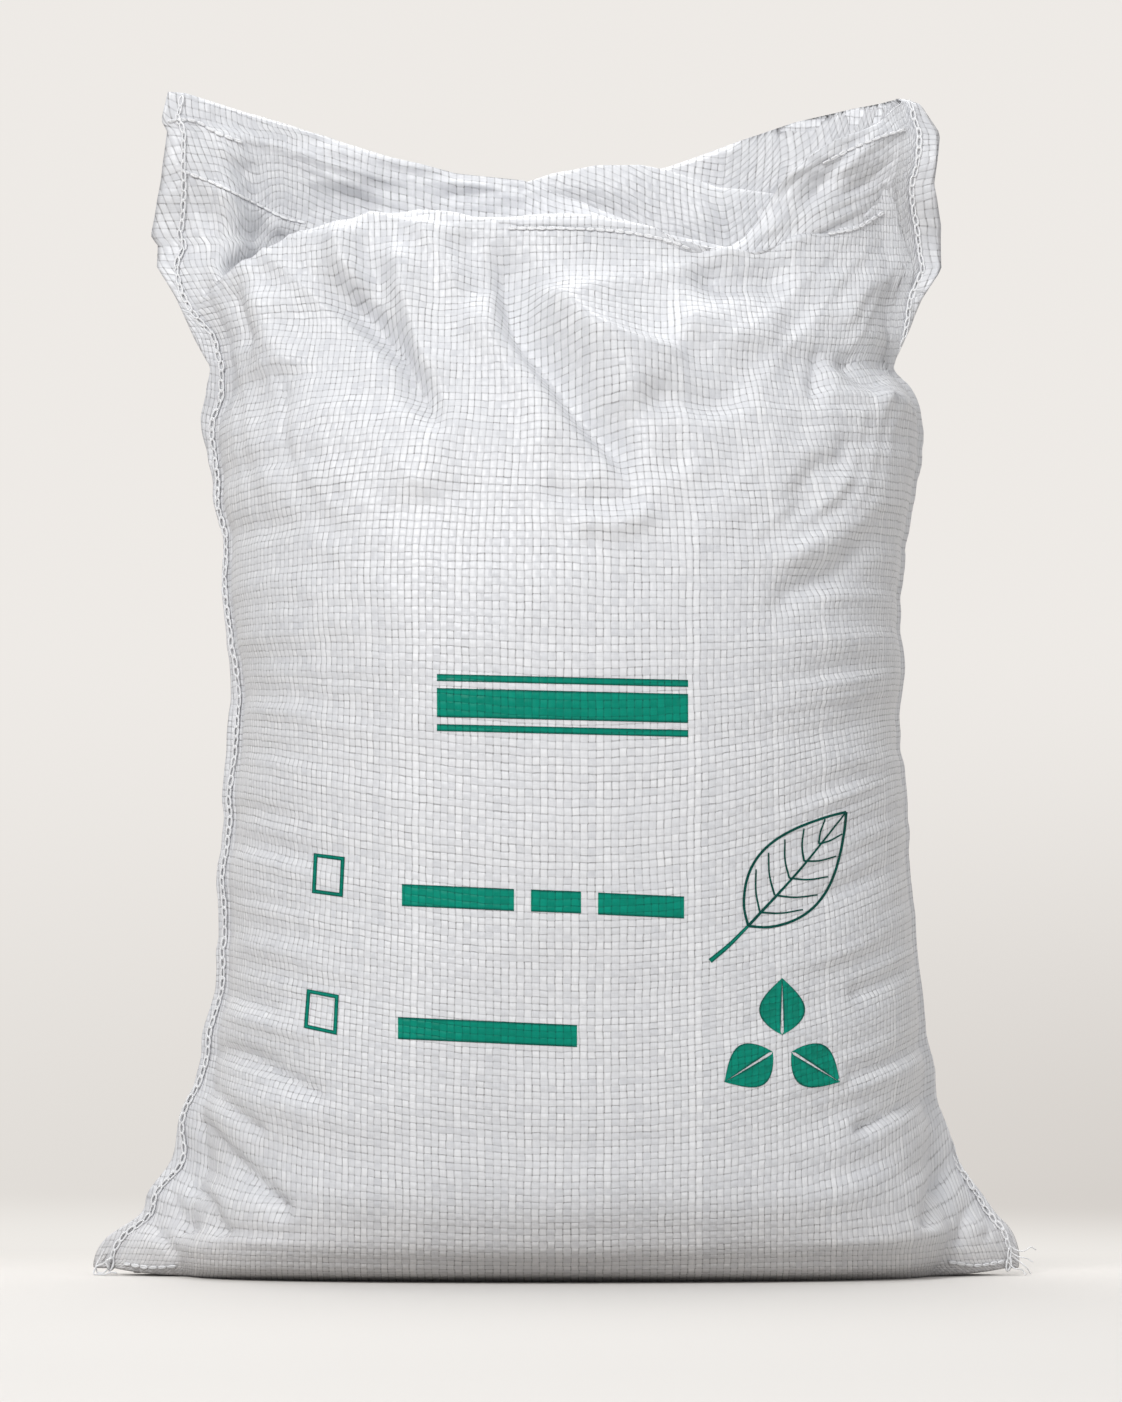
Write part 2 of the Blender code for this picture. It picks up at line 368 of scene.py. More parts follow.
@dataclass(frozen=True)
class TapeCloth:
    """Plain weave of flat plastic tapes, bare or under a print."""

    name: str = "woven_tape_cloth"
    pitch_across: float = 0.0041
    pitch_up: float = 0.0040
    tape: Colour = (0.640, 0.650, 0.680, 1)
    bright: Colour = (0.920, 0.925, 0.940, 1)
    gap: Colour = (0.330, 0.330, 0.342, 1)
    hole: Colour = (0.150, 0.145, 0.140, 1)
    # Painted shade near the floor: the cloth low on the sack is made darker and warmer, standing in for
    # shade and the floor's warm bounce
    low_shade: Colour = (0.86, 0.80, 0.74, 1)  # near the floor
    # Painted shade inside the mouth, where the layers and the pocket behind the bulge shade the cloth
    mouth_shade: Colour = (0.86, 0.855, 0.85, 1)  # inside the mouth
    edging: Colour = (1.0, 1.0, 1.0, 1)  # along the edges of a print
    gloss: float = 0.42
    roughness: float = 0.40
    roughness_luck: float = 0.12
    roughness_gap: float = 0.10
    relief: float = 0.00035
    relief_strength: float = 0.7
    gap_from: float = 0.345  # shares of the pitch, from the middle of a tape
    gap_share: float = 0.56
    # Painted shade near the floor: how strong it is, and the height where it has faded out
    low_shade_share: float = 0.42
    low_shade_top: float = 0.050
    lone_share: float = 0.06  # of the columns, pale ones without gaps
    lone_edge: tuple[float, float] = (0.20, 0.38)
    lone_bright: float = 0.10
    hole_across: tuple[float, float] = (0.34, 0.47)
    hole_up: tuple[float, float] = (0.28, 0.47)
    hole_share: tuple[float, float] = (0.9, 0.24)  # by luck, and at least
    fibre_relief: float = 0.12
    luck_relief: float = 0.25
    fibre_long: float = 1500.0
    fibre_short: float = 90.0
    # Noise that the tapes wander by: its scale and detail, and how far across and up
    wander: tuple[tuple[float, ...], ...] = ((38.0, 2.0, 0.0010, 0.0014), (120.0, 1.0, 0.0008, 0.0011))
    # How dark a gap is: at least, with its tape's luck and with the luck of the crossing
    column_gap: Triple = (0.16, 0.42, 1.00)
    row_gap: Triple = (0.06, 0.65, 0.95)
    # How bright the tape is, by the crossing, column, row, fibres and cloud, and in all
    shades: tuple[float, ...] = (0.35, 0.19, 0.17, 0.50, 0.16, -0.305)

    def build(self) -> Any:
        """Make the material."""
        material, tree, shader = fresh_material(self.name, self.tape)
        made = partial(taken, tree)
        spot = made("ShaderNodeUVMap", 0, {"uv_map": "cloth"})
        across, up, _ = parts(spot)
        for scale, detail, sideways, upwards in self.wander:
            drift = made("ShaderNodeTexNoise", "Color", Vector=spot, Scale=scale, Detail=detail)
            red, green, _ = parts(drift, "Color")
            across = across + (red - 0.5) * sideways
            up = up + (green - 0.5) * upwards
        warp, weft = across / self.pitch_across, up / self.pitch_up
        column, row = warp.floor(), weft.floor()
        beside, below = (warp.fract() - 0.5).abs(), (weft.fract() - 0.5).abs()
        column_luck, row_luck = random_of(tree, column, 3.0), random_of(tree, row, 91.0)
        luck, other_luck = random_of(tree, column, row), random_of(tree, row, column + 37.0)
        over = ((column + row) * 0.5).fract().above(0.25)
        least, by_tape, by_crossing = self.column_gap
        dark = least + column_luck * by_tape + luck * luck * by_crossing
        column_gap = beside.step(self.gap_from, 0.50) * dark
        least, by_tape, by_crossing = self.row_gap
        dark = least + row_luck * row_luck * by_tape + other_luck * other_luck * by_crossing
        row_gap = below.step(self.gap_from, 0.50) * dark
        lone = column_luck.above(1 - self.lone_share) * (1 - beside.step(*self.lone_edge))
        by_luck, least = self.hole_share
        opening = beside.step(*self.hole_across) * below.step(*self.hole_up)
        hole = opening * (luck * other_luck * by_luck + least)
        edge = column_gap.largest(row_gap * (1 - lone * 0.5))
        arch_up, arch_across = (below * math.pi).cos(), (beside * math.pi).cos()
        height = over * arch_up * (1 - column_gap) + (1 - over) * arch_across * (1 - row_gap)
        lengthwise = self.speckle(spot, self.fibre_long, self.fibre_short)
        crosswise = self.speckle(spot, self.fibre_short, self.fibre_long)
        fibre = over * lengthwise + (1 - over) * crosswise
        cloud = made("ShaderNodeTexNoise", "Fac", Vector=spot, Scale=14.0, Detail=3.0, Roughness=0.6)
        *shares, base = self.shades
        causes = (luck, column_luck, row_luck, fibre, cloud)
        shade = sum(cause * share for cause, share in zip(causes, shares)) + base
        colour = blended(tree, shade + lone * self.lone_bright, self.tape, self.bright)
        colour = blended(tree, edge * self.gap_share, colour, self.gap)
        colour = blended(tree, hole, colour, self.hole)
        level = parts(made("ShaderNodeTexCoord", "Object"))[2]
        # Painted shade multiplied into the colour, inside the mouth and near the floor; the print's darker
        # edges are also multiplied in here
        for share, tint in (
            (made("ShaderNodeAttribute", "Fac", {"attribute_name": "inside"}), self.mouth_shade),
            (made("ShaderNodeAttribute", "Fac", {"attribute_name": "edging"}), self.edging),
            ((1 - level.step(-0.01, self.low_shade_top)) * self.low_shade_share, self.low_shade),
        ):
            colour = blended(tree, share, colour, tint, "MULTIPLY")
        put(tree, shader.inputs["Base Color"], colour)
        rough = self.roughness + (luck - 0.5) * self.roughness_luck + edge * self.roughness_gap
        put(tree, shader.inputs["Roughness"], rough)
        bump = made(
            "ShaderNodeBump",
            Strength=self.relief_strength,
            Distance=self.relief,
            Height=height + fibre * self.fibre_relief + luck * self.luck_relief,
        )
        put(tree, shader.inputs["Normal"], bump)
        shader.inputs["Specular IOR Level"].default_value = self.gloss
        return material

    @staticmethod
    def speckle(spot: Value, across: float, up: float) -> Value:
        """Fine noise that is drawn out along one way of the weave."""
        product, scale = {"operation": "MULTIPLY"}, (across, up, 1.0)
        drawn = taken(spot.tree, "ShaderNodeVectorMath", 0, product, _0=spot, _1=scale)
        return taken(spot.tree, "ShaderNodeTexNoise", "Fac", Vector=drawn, Scale=1.0, Detail=2.0)


PRINT_INK = TapeCloth(
    name="green_ink_on_tape_cloth",
    tape=(0.000, 0.200, 0.135, 1),
    bright=(0.000, 0.320, 0.220, 1),
    gap=(0.000, 0.130, 0.090, 1),
    hole=(0.000, 0.060, 0.045, 1),
    gap_share=0.45,
    gloss=0.12,
    edging=(0.15, 0.30, 0.34, 1),
)


@dataclass(frozen=True)
class SewingThread:
    """Spun white thread, with its plies as fine slanted lines."""

    name: str = "sewing_thread"
    light: Colour = (0.96, 0.965, 0.98, 1)
    dark: Colour = (0.84, 0.845, 0.86, 1)
    plies: float = 900.0
    roughness: float = 0.55
    roughness_ply: float = 0.15
    relief: float = 0.0002

    def build(self) -> Any:
        """Make the material."""
        material, tree, shader = fresh_material(self.name, self.light)
        made = partial(taken, tree)
        place = made("ShaderNodeTexCoord", "Object")
        wave = {"Scale": self.plies, "Distortion": 2.0, "Detail": 1.0}
        ply = made("ShaderNodeTexWave", "Fac", {"bands_direction": "DIAGONAL"}, Vector=place, **wave)
        bump = made("ShaderNodeBump", Strength=0.4, Distance=self.relief, Height=ply)
        put(tree, shader.inputs["Base Color"], blended(tree, ply, self.dark, self.light))
        put(tree, shader.inputs["Roughness"], self.roughness + ply * self.roughness_ply)
        put(tree, shader.inputs["Normal"], bump)
        return material


def fresh_material(name: str, colour: Colour) -> tuple[Any, Any, Any]:
    """Make an empty Principled material.

    Args:
        name: Its name.
        colour: Its colour in the viewport.

    Returns:
        The material, its node tree and its shader.
    """
    material = bpy.data.materials.new(name)
    material.use_nodes = True
    material.diffuse_color = colour
    tree = material.node_tree
    return material, tree, tree.nodes["Principled BSDF"]


# The sack


@dataclass(frozen=True)
class Crease:
    """A fold line in the cloth, drawn through picture points."""

    points: Table
    rise: float  # mm out of the cloth, or into it where negative
    width: float  # picture points from the line to where the fold has nearly gone
    other_width: float = 0.0  # on the right of the line as drawn, where it differs
    crisp: float = 0.0  # 0 for a round fold, 1 for a sharp one
    place: Place = Place.FRONT
    taper: float = 0.25  # share of the length that it fades over at both ends

    def lift(self, seen: Array) -> Array:
        """How far the cloth moves out at each picture point, in metres.

        Args:
            seen: Picture points.

        Returns:
            One distance for each.
        """
        line = resampled(np.array(self.points, float), 6.0)
        best = np.full(seen.shape[:-1], np.inf)
        side, place = np.zeros(seen.shape[:-1]), np.zeros(seen.shape[:-1])
        run = along(line)
        for start, end, here in zip(line, line[1:], run):
            step = end - start
            length = float(np.hypot(*step))
            rel = seen - start
            t = np.clip((rel @ step) / length**2, 0, 1)
            gap = rel - t[..., None] * step
            distance = np.hypot(gap[..., 0], gap[..., 1])
            nearer = distance < best
            best = np.where(nearer, distance, best)
            side = np.where(nearer, np.sign(rel[..., 1] * step[0] - rel[..., 0] * step[1]), side)
            place = np.where(nearer, (here + t * length) / run[-1], place)
        width = np.where(side > 0, self.other_width or self.width, self.width)
        t = best / width
        profile = np.exp(-1.5 * t * t) * (1 - self.crisp) + np.exp(-2.2 * t) * self.crisp
        ends = np.minimum(ease(0, self.taper, place), ease(0, self.taper, 1 - place))
        return self.rise / 1000 * profile * ends


# Read off the picture, apart from those of the back and what lies inside the mouth
CREASES = (
    Crease(((488, 222), (500, 262), (513, 325), (545, 369), (578, 409), (612, 445), (640, 492)),
           -15.0, 34, 14, 0.35, taper=0.2),
    Crease(((462, 224), (476, 262), (492, 302)), -6.0, 22, 22),
    Crease(((408, 212), (438, 254), (466, 306)), 5.0, 20, 13, 0.2),
    Crease(((528, 255), (575, 300), (622, 370), (668, 440), (690, 490)), 10.0, 38, 44, 0.1),
    Crease(((455, 290), (498, 342), (540, 410), (560, 470)), 5.5, 40, 26),
    Crease(((525, 283), (565, 313), (595, 339), (635, 352), (675, 359), (708, 376)), 9.0, 13, 36, 0.35),
    Crease(((362, 232), (372, 268), (390, 306)), -4.0, 9, 14, 0.2),
    Crease(((388, 222), (396, 262), (404, 300), (421, 356), (438, 405)), 8.0, 30, 11, 0.2),
    Crease(((318, 262), (345, 290), (386, 330), (424, 392), (446, 445)), -14.5, 12, 27, 0.25),
    Crease(((335, 222), (345, 262), (362, 300)), 7.8, 16),
    Crease(((270, 282), (272, 330), (290, 385)), 9.0, 26, 40),
    Crease(((226, 282), (244, 322), (258, 358)), -9.5, 15, 12, 0.3),
    Crease(((395, 395), (418, 448), (430, 505)), 5.4, 41),
    Crease(((535, 485), (590, 498), (652, 494)), -4.7, 16, 10),
    Crease(((565, 520), (620, 524), (664, 508)), 4.7, 14),
    Crease(((660, 325), (730, 338), (800, 345)), 7.8, 37, 26),
    Crease(((630, 398), (690, 402), (760, 396)), -5.4, 16),
    Crease(((640, 385), (664, 430), (688, 480)), -7.5, 26, 34),
    Crease(((685, 268), (740, 280), (800, 274)), -9.3, 21),
    Crease(((912, 252), (880, 280), (858, 302), (846, 338)), 6.6, 20, 18, 0.3),
    Crease(((818, 345), (812, 405)), -5.4, 9, 8, 0.5),
    Crease(((836, 352), (860, 376), (890, 385)), -9.0, 16, 14, 0.3),
    Crease(((866, 400), (898, 404), (925, 420)), 8.5, 12),
    Crease(((885, 535), (805, 588), (762, 612)), -5.4, 16),
    Crease(((888, 498), (825, 540), (775, 562)), 4.7, 16),
    Crease(((870, 440), (820, 470), (790, 520)), -4.7, 16),
    Crease(((284, 378), (291, 465)), -3.9, 8, 7, 0.5),
    Crease(((214, 1045), (253, 1057), (286, 1077), (330, 1098)), -6.5, 9, 11, 0.5, taper=0.15),
    Crease(((222, 992), (285, 1012)), -4.5, 8, 7, 0.5),
    Crease(((206, 1080), (233, 1110), (266, 1138)), -5.5, 8, 10, 0.5, taper=0.15),
    Crease(((190, 1112), (225, 1149), (268, 1194), (292, 1222)), -8.5, 9, 13, 0.5, taper=0.12),
    Crease(((174, 1150), (194, 1184), (212, 1210), (226, 1238)), -8.0, 8, 11, 0.5, taper=0.1),
    Crease(((160, 1174), (181, 1212), (194, 1234)), -7.5, 8, 10, 0.5, taper=0.1),
    Crease(((146, 1210), (166, 1241), (176, 1258)), -6.5, 7, 9, 0.5, taper=0.1),
    Crease(((940, 1088), (900, 1108), (850, 1134)), -7.0, 9, 11, 0.5, taper=0.12),
    Crease(((958, 1152), (938, 1182), (925, 1232)), -9.0, 9, 11, 0.5, taper=0.1),
    Crease(((980, 1182), (962, 1226), (957, 1248)), -7.5, 8, 9, 0.5, taper=0.1),
    Crease(((996, 1206), (986, 1242)), -6.0, 6, 7, 0.5, taper=0.1),
    Crease(((930, 1040), (885, 1062), (838, 1078)), -5.5, 9, 9, 0.5, taper=0.15),
    Crease(((918, 960), (880, 985), (845, 996)), -4.5, 9, 9, 0.5, taper=0.15),
    Crease(((188, 118), (212, 150), (245, 170), (278, 187), (312, 199), (380, 203)),
           -8.5, 9, 15, 0.35, Place.EAR, 0.12),
    Crease(((190, 176), (206, 215), (230, 262)), -6.0, 12, 10, 0.4, Place.EAR),
    Crease(((214, 180), (238, 212), (262, 240)), 4.5, 18, 16, 0.0, Place.EAR),
    Crease(((196, 121), (238, 139), (281, 149), (320, 162), (363, 175), (415, 188)),
           5.0, 16, 5, 0.5, Place.EAR),
    Crease(((186, 172), (238, 196), (301, 222)), 4.0, 5, 20, 0.3, Place.EAR),
    Crease(((300, 138), (330, 152), (370, 160), (450, 175)), 2.6, 12, 4, 0.3, Place.EAR),
    Crease(((240, 185), (300, 200), (380, 206)), -5.0, 18, 16, 0.0, Place.EAR),
    Crease(((434, 198), (480, 194), (532, 189)), -3.1, 8, 7, 0.5, Place.EAR),
    Crease(((430, 182), (480, 186), (530, 200)), 3.0, 5, 9, 0.4, Place.EAR),
    Crease(((905, 150), (872, 176), (842, 196)), -6.0, 10, 9, 0.4, Place.EAR),
    Crease(((898, 128), (862, 148), (832, 172), (800, 214), (772, 240)), -5.0, 10, 14, 0.4, Place.EAR),
    Crease(((892, 118), (862, 150), (826, 186)), 3.9, 10, 9, 0.0, Place.EAR),
    Crease(((330, 300), (420, 352), (470, 420)), -4.7, 21, 12, 0.3, Place.BACK),
    Crease(((760, 250), (690, 320), (650, 430)), -6.2, 23, 14, 0.3, Place.BACK),
    Crease(((560, 190), (575, 290), (560, 400)), -6.2, 25, 22, 0.2, Place.BACK),
    Crease(((860, 330), (790, 380), (740, 400)), -6.2, 16, 14, 0.4, Place.BACK),
    Crease(((250, 380), (320, 420), (380, 430)), -5.4, 14, 12, 0.4, Place.BACK),
    Crease(((200, 1100), (265, 1150), (300, 1210)), -5.3, 10, 9, 0.4, Place.BACK),
    Crease(((950, 1120), (890, 1160), (850, 1215)), -5.3, 10, 9, 0.4, Place.BACK),
)


def creased(place: Place, seen: Array, before: Array | float = 0.0) -> Array:
    """Add the lift of all creases on one part of the sack to what is there before."""
    return sum((crease.lift(seen) for crease in CREASES if crease.place is place), start=before)


def grid_faces(rows: int, columns: int, start: int = 0, turned: bool = False) -> list[Face]:
    """Faces between neighbouring rows and columns of points.

    Args:
        rows: How many rows there are.
        columns: How many points a row has.
        start: The first point's place in the list of points.
        turned: Whether the faces look the other way.

    Returns:
        The faces, row by row.
    """
    faces = []
    for row in range(rows - 1):
        for column in range(columns - 1):
            here = start + row * columns + column
            rest = (here + 1, here + columns + 1, here + columns)
            faces.append((here, *(reversed(rest) if turned else rest)))
    return faces


LOWER_DEPTH: Table = (
    (0, 0.074), (0.003, 0.090), (0.012, 0.107), (0.03, 0.120), (0.08, 0.129), (0.15, 0.132),
    (0.26, 0.132), (0.36, 0.125),
)


@dataclass
class Sack:
    """The filled sack: its outline, its layers at the mouth and its cloth."""

    view: View
    columns: int = 200
    foot_rows: int = 14
    wall_rows: int = 220
    roll_rows: int = 8
    ear_rows: int = 50
    layer_rows: int = 10
    rim_rows: int = 8
    cloth_width: float = 0.500
    cloth_height: float = 0.760
    seam_thickness: float = 0.0034
    corner_lift: float = 0.0036
    height: float = 0.639
    pinch: float = 0.30
    base_groove: float = 0.0028
    bulge_y: float = -0.045
    first_valley: float = 0.024  # depths of the valleys between the layers
    other_valleys: float = 0.016
    ear_belly: float = 0.005

    # Outer edges of the seam margins, in picture points from the floor up
    left_edge: Table = (
        (93, 1275), (93, 1262), (104, 1240), (142.7, 1211), (147, 1195), (170, 1162), (181, 1117),
        (198, 1071), (208, 1020), (219, 860), (225, 753), (229, 664), (222, 564), (216, 497), (207, 460),
        (203, 429), (205.3, 389), (210.5, 368), (208, 364), (195, 340), (176, 298), (156.5, 266),
        (157, 244), (150.5, 236), (150.5, 232), (159, 189), (167.5, 131), (162.5, 124), (162.5, 119),
        (168, 92), (168, 84),
    )
    right_edge: Table = (
        (1019, 1275), (1019, 1248), (1009.7, 1227), (996, 1213), (983, 1195), (959, 1160), (955, 1144),
        (948, 1120), (936, 1093.5), (931, 1050), (918, 960), (909, 860), (905, 811), (895.5, 732),
        (897, 693.5), (895, 620), (898.5, 558), (908, 506.5), (917, 467.6), (924, 430.5), (920, 407),
        (909, 386), (895, 371), (897, 363), (908, 336), (914, 318), (921, 301), (938, 275), (941.5, 268),
        (942, 225), (933.5, 186), (940, 136), (938.5, 129), (922, 103), (919, 101), (904, 97), (903, 84),
    )
    # Widths of the seam margins by height
    left_margin: Table = (
        (0, 0.012), (0.02, 0.010), (0.038, 0.006), (0.06, 0.008), (0.08, 0.004), (0.12, 0.005),
        (0.25, 0.005), (0.30, 0.0065), (0.34, 0.004), (0.42, 0.004), (0.455, 0.007), (0.47, 0.010),
        (0.49, 0.008), (0.505, 0.012), (0.515, 0.008), (0.5265, 0.006), (0.542, 0.011), (0.56, 0.017),
        (0.58, 0.016), (0.60, 0.013), (0.625, 0.010), (0.639, 0.009),
    )
    right_margin: Table = (
        (0, 0.008), (0.03, 0.006), (0.055, 0.003), (0.085, 0.0008), (0.12, 0.0008), (0.48, 0.0008),
        (0.505, 0.003), (0.535, 0.010), (0.574, 0.015), (0.60, 0.012), (0.622, 0.012), (0.636, 0.006),
    )
    # Half of the depth at each height
    front_depth: Table = (
        *LOWER_DEPTH, (0.43, 0.107), (0.48, 0.084), (0.53, 0.058), (0.57, 0.042), (0.60, 0.030),
        (0.64, 0.02),
    )
    back_depth: Table = (
        *LOWER_DEPTH, (0.43, 0.106), (0.48, 0.083), (0.53, 0.058), (0.58, 0.040), (0.62, 0.032),
        (0.64, 0.03),
    )
    # How far towards the seams the filling reaches and how round it is, by share of the height
    filled: Table = (
        (0, 0.83), (0.06, 0.90), (0.14, 0.955), (0.26, 0.985), (0.70, 0.985), (0.80, 0.95), (0.88, 0.90),
        (1, 0.94),
    )
    roundness: Table = ((0, 2.6), (0.10, 2.35), (0.30, 2.2), (0.70, 2.2), (0.85, 2.0), (1, 1.9))
    # The fold lines of the mouth, in picture points from left to right, and their y by share
    bulge: Table = (
        (190, 305), (205, 285), (218, 273), (250, 255), (280, 240), (300, 223), (331, 219), (357, 214),
        (396, 207), (422, 205), (450, 209), (476, 216), (497, 219), (530, 218.5), (560, 218), (618, 221),
        (654, 227), (697, 241), (731, 250), (752, 249), (793, 236), (832, 228), (860, 216), (876, 195),
        (889, 173), (899, 192), (908, 225), (918, 255), (926, 284),
    )
    front_layer: Table = (
        (168, 92), (230, 107), (294, 126), (340, 142), (390, 158), (417, 164), (456, 174), (523, 181),
        (540, 188), (575, 199), (614, 215), (653, 231), (697, 240), (729, 247), (745, 236), (757, 221),
        (777, 190), (792, 171), (813, 154), (835, 141), (857, 132), (879, 122), (893, 108), (902, 98),
    )
    middle_layer: Table = (
        (168, 92), (294, 134), (390, 170), (456, 186), (500, 190), (520, 183), (553, 170), (597, 161),
        (640, 161), (668, 167), (722, 184), (742, 186), (777, 192), (813, 172), (857, 146), (885, 128),
        (902, 98),
    )
    back_layer: Table = (
        (168, 92), (294, 128), (390, 161), (456, 178), (523, 188), (600, 180), (668, 167), (694, 158),
        (745, 139), (796, 122), (855, 108), (890, 100), (902, 98),
    )
    front_layer_depth: Table = (
        (-1, 0), (-0.9, 0.010), (-0.6, 0.020), (-0.3, 0.019), (-0.1, 0.008), (0.1, -0.006), (0.3, -0.020),
        (0.45, -0.027), (0.55, -0.027), (0.7, -0.020), (0.85, -0.012), (1, 0),
    )
    middle_layer_depth: Table = (
        (-1, 0), (-0.9, 0.012), (-0.6, 0.025), (-0.1, 0.018), (0.2, 0.008), (0.4, 0.002), (0.6, 0.0),
        (0.85, -0.002), (1, 0),
    )
    back_layer_depth: Table = (
        (-1, 0), (-0.9, 0.014), (-0.6, 0.031), (-0.3, 0.034), (0, 0.034), (0.3, 0.026), (0.6, 0.020),
        (0.85, 0.011), (1, 0),
    )
    # How far the seams sway to the back, and extra height on the flat cloth, by height
    wave: Table = (
        (0, 0), (0.40, 0), (0.455, 0.003), (0.49, -0.004), (0.525, -0.002), (0.56, 0.006), (0.60, -0.003),
        (0.64, 0.005),
    )
    stretch: Table = (
        (0, 0), (0.1, 0.013), (0.2, 0.026), (0.3, 0.023), (0.4, 0.017), (0.55, 0.004), (0.65, -0.004),
    )
    front: Array = field(init=False)
    front_maps: Array = field(init=False)
    back: Array = field(init=False)
    back_maps: Array = field(init=False)
    # The painted shade of the mouth: the layers and the pocket behind the bulge shade the cloth there
    inside: Array = field(init=False)  # 1 where the cloth lies inside the mouth

    SAME_PLACE = 6e-6  # points closer than this are merged
    EAR_ROOT = (0.215, 0.600)  # distance from the middle, and height

    # Smooth random relief: cells across and up, in a metre of cloth, and height in metres
    SIDE_BANDS = ((14, 90, 0.0023), (20, 190, 0.0016))
    ALL_OVER = ((22, 60, 0.0004), (70, 75, 0.00022))
    LUMPS = ((9, 9, 0.0022), (20, 20, 0.0007))
    # Sharp-backed relief: cells round the ear's root and away from it, or along and across an ear
    FAN = ((6.5, 6, 0.0021), (15, 14, 0.0011))
    CRUMPLES = ((9, 62, 0.0023), (22, 130, 0.0012))

    # Fixed seeds of the noises, for the front and the back where there are two
    WEAVE_SEEDS = (41, 43)
    WANDER = ((0, 22, 0.0016), (4, 60, 0.0006))  # added to the seed, cells a metre, metres
    PUCKER_SEEDS = (11, 23)
    SAG_SEEDS = (17, 29)
    CRUMPLE_SEED = 61
    GATHER_SEEDS = (71, 74)  # slow and quick
    SWAY_SEEDS = (41, 47)
    # Cells in a metre of height, and metres
    GATHERS = ((46, 0.0018), (110, 0.0007))
    SWAY = ((45, 0.0026), (110, 0.0010))

    # Heights between which something sets in or fades out, in metres
    NEAR_MOUTH = (0.46, 0.50)
    ABOVE_FLOOR = (0.004, 0.02)
    ABOVE_CORNER, ABOVE_FOOT = (0.05, 0.10), (0.03, 0.16)
    TURNED_FROM, TURNED_TO = (0.045, 0.09), (0.485, 0.515)
    SHOULDERS, GATHERED, CROWDED, RUMPLED = (0.24, 0.40), (0.36, 0.48), (0.37, 0.50), (0.40, 0.50)
    FAN_TOP = (0.60, 0.63)
    LOOSE_TOP, LOOSE_FOOT, LOOSE_EAR = (0.36, 0.46), (0.05, 0.12), (0.53, 0.57)

    # The same for distances from an ear's root
    FAN_FROM, FAN_TO = (0.045, 0.10), (0.16, 0.33)

    # The same for shares of the way to a seam
    HEM_FROM, HEM_TO = (-0.14, -0.08), (0.36, 0.44)
    EAR_SHUT, MAP_SHUT, EDGE_SHUT = (0.78, 0.92), (0.74, 0.88), (0.70, 0.88)
    BEHIND, VALLEY_SIDES = (-0.10, 0.35), (0.5, 0.85)
    BANDS_FROM, CRUMPLED_FROM, CORNER_FOLDS_FROM = (0.40, 0.92), (0.35, 0.62), (0.5, 0.9)

    MOST_FILLED = 0.985  # of the way to a seam
    ROW_PLACES = ((0, 0), (0.05, 0.016), (0.12, 0.055), (1, 1))  # share of the rows, and of the height
    VALLEY_BACK = 0.006
    RUMPLE_HEIGHT, CORNER_HEIGHT = 0.0018, 0.0010
    EAR_LEANS = (0.42, -0.60)  # how steeply the folds of the left and right ear fall

    # Where a margin that is turned back lies, inwards and to the back: its middle and its edge
    TURNED_MIDDLE = (0.0012, 0.0035)
    TURNED_EDGE = (0.0025, 0.0065)

    def __post_init__(self) -> None:
        """Read the outline and lay out the columns."""
        self.reach = {}
        for side, edge in ((-1, self.left_edge), (1, self.right_edge)):
            places = sorted(self.view.at(edge).tolist(), key=lambda place: place[2])
            self.reach[side] = tuple((z, abs(x)) for x, _, z in places)
        t = np.linspace(0, 1, self.columns + 1)
        self.share = -np.cos(math.pi * t + 0.30 * np.sin(2 * math.pi * t) / 2)

    def seam(self, z: Array, side: int) -> Array:
        """Distance from the middle to the side seam at a height."""
        margin = self.left_margin if side < 0 else self.right_margin
        return self.outline(z, side) - smooth(margin, z)

    def outline(self, z: Array, side: int) -> Array:
        """Distance from the middle to the outer edge, with corners beside the mouth.

        Args:
            z: Heights.
            side: -1 for the left, 1 for the right.

        Returns:
            One distance for each height.
        """
        beside_mouth = ease(*self.NEAR_MOUTH, z)
        gathers = sum(
            noise(seed + side, z * cells, z * 0) * height
            for seed, (cells, height) in zip(self.GATHER_SEEDS, self.GATHERS)
        )
        gathers *= ease(*self.ABOVE_CORNER, z) * (1 - beside_mouth)
        curved = smooth(self.reach[side], z)
        straight = np.interp(z, *zip(*self.reach[side]))
        return curved + (straight - curved) * beside_mouth + gathers

    def turned(self, z: Array, side: int) -> Array:
        """How far the seam margin is turned to the back: on the right only, below the ear."""
        return ease(*self.TURNED_FROM, z) * (1 - ease(*self.TURNED_TO, z)) * (side > 0)

    def across(self, share: Array, z: Array) -> Array:
        """The x of a place, from its share of the way to the seam and its height."""
        return share * np.where(share < 0, self.seam(z, -1), self.seam(z, 1))

    def bulk(self, share: Array, z: Array) -> Array:
        """Depth at a place, as a share of the depth in the middle.

        Args:
            share: Shares of the way to the seam.
            z: Heights.

        Returns:
            One share for each place.
        """
        width = np.abs(share)
        at = z / self.height
        power = smooth(self.roundness, at)
        filled = np.minimum(smooth(self.filled, at), self.MOST_FILLED)
        inner = np.clip(1 - (width / filled) ** power, 0, None) ** (1 / power)
        pinched = self.pinch * np.clip(1 - width**8, 0, None)
        return (inner**4 + pinched**4) ** 0.25

    def panel(self, z: Array, share: Array, facing: int) -> Array:
        """Points of the front (-1) or back (1) panel."""
        half = smooth(self.front_depth if facing < 0 else self.back_depth, z)
        thin = self.seam_thickness / 2
        y = facing * (thin + (half - thin) * self.bulk(share, z))
        return np.stack([self.across(share, z), y, z], axis=-1)

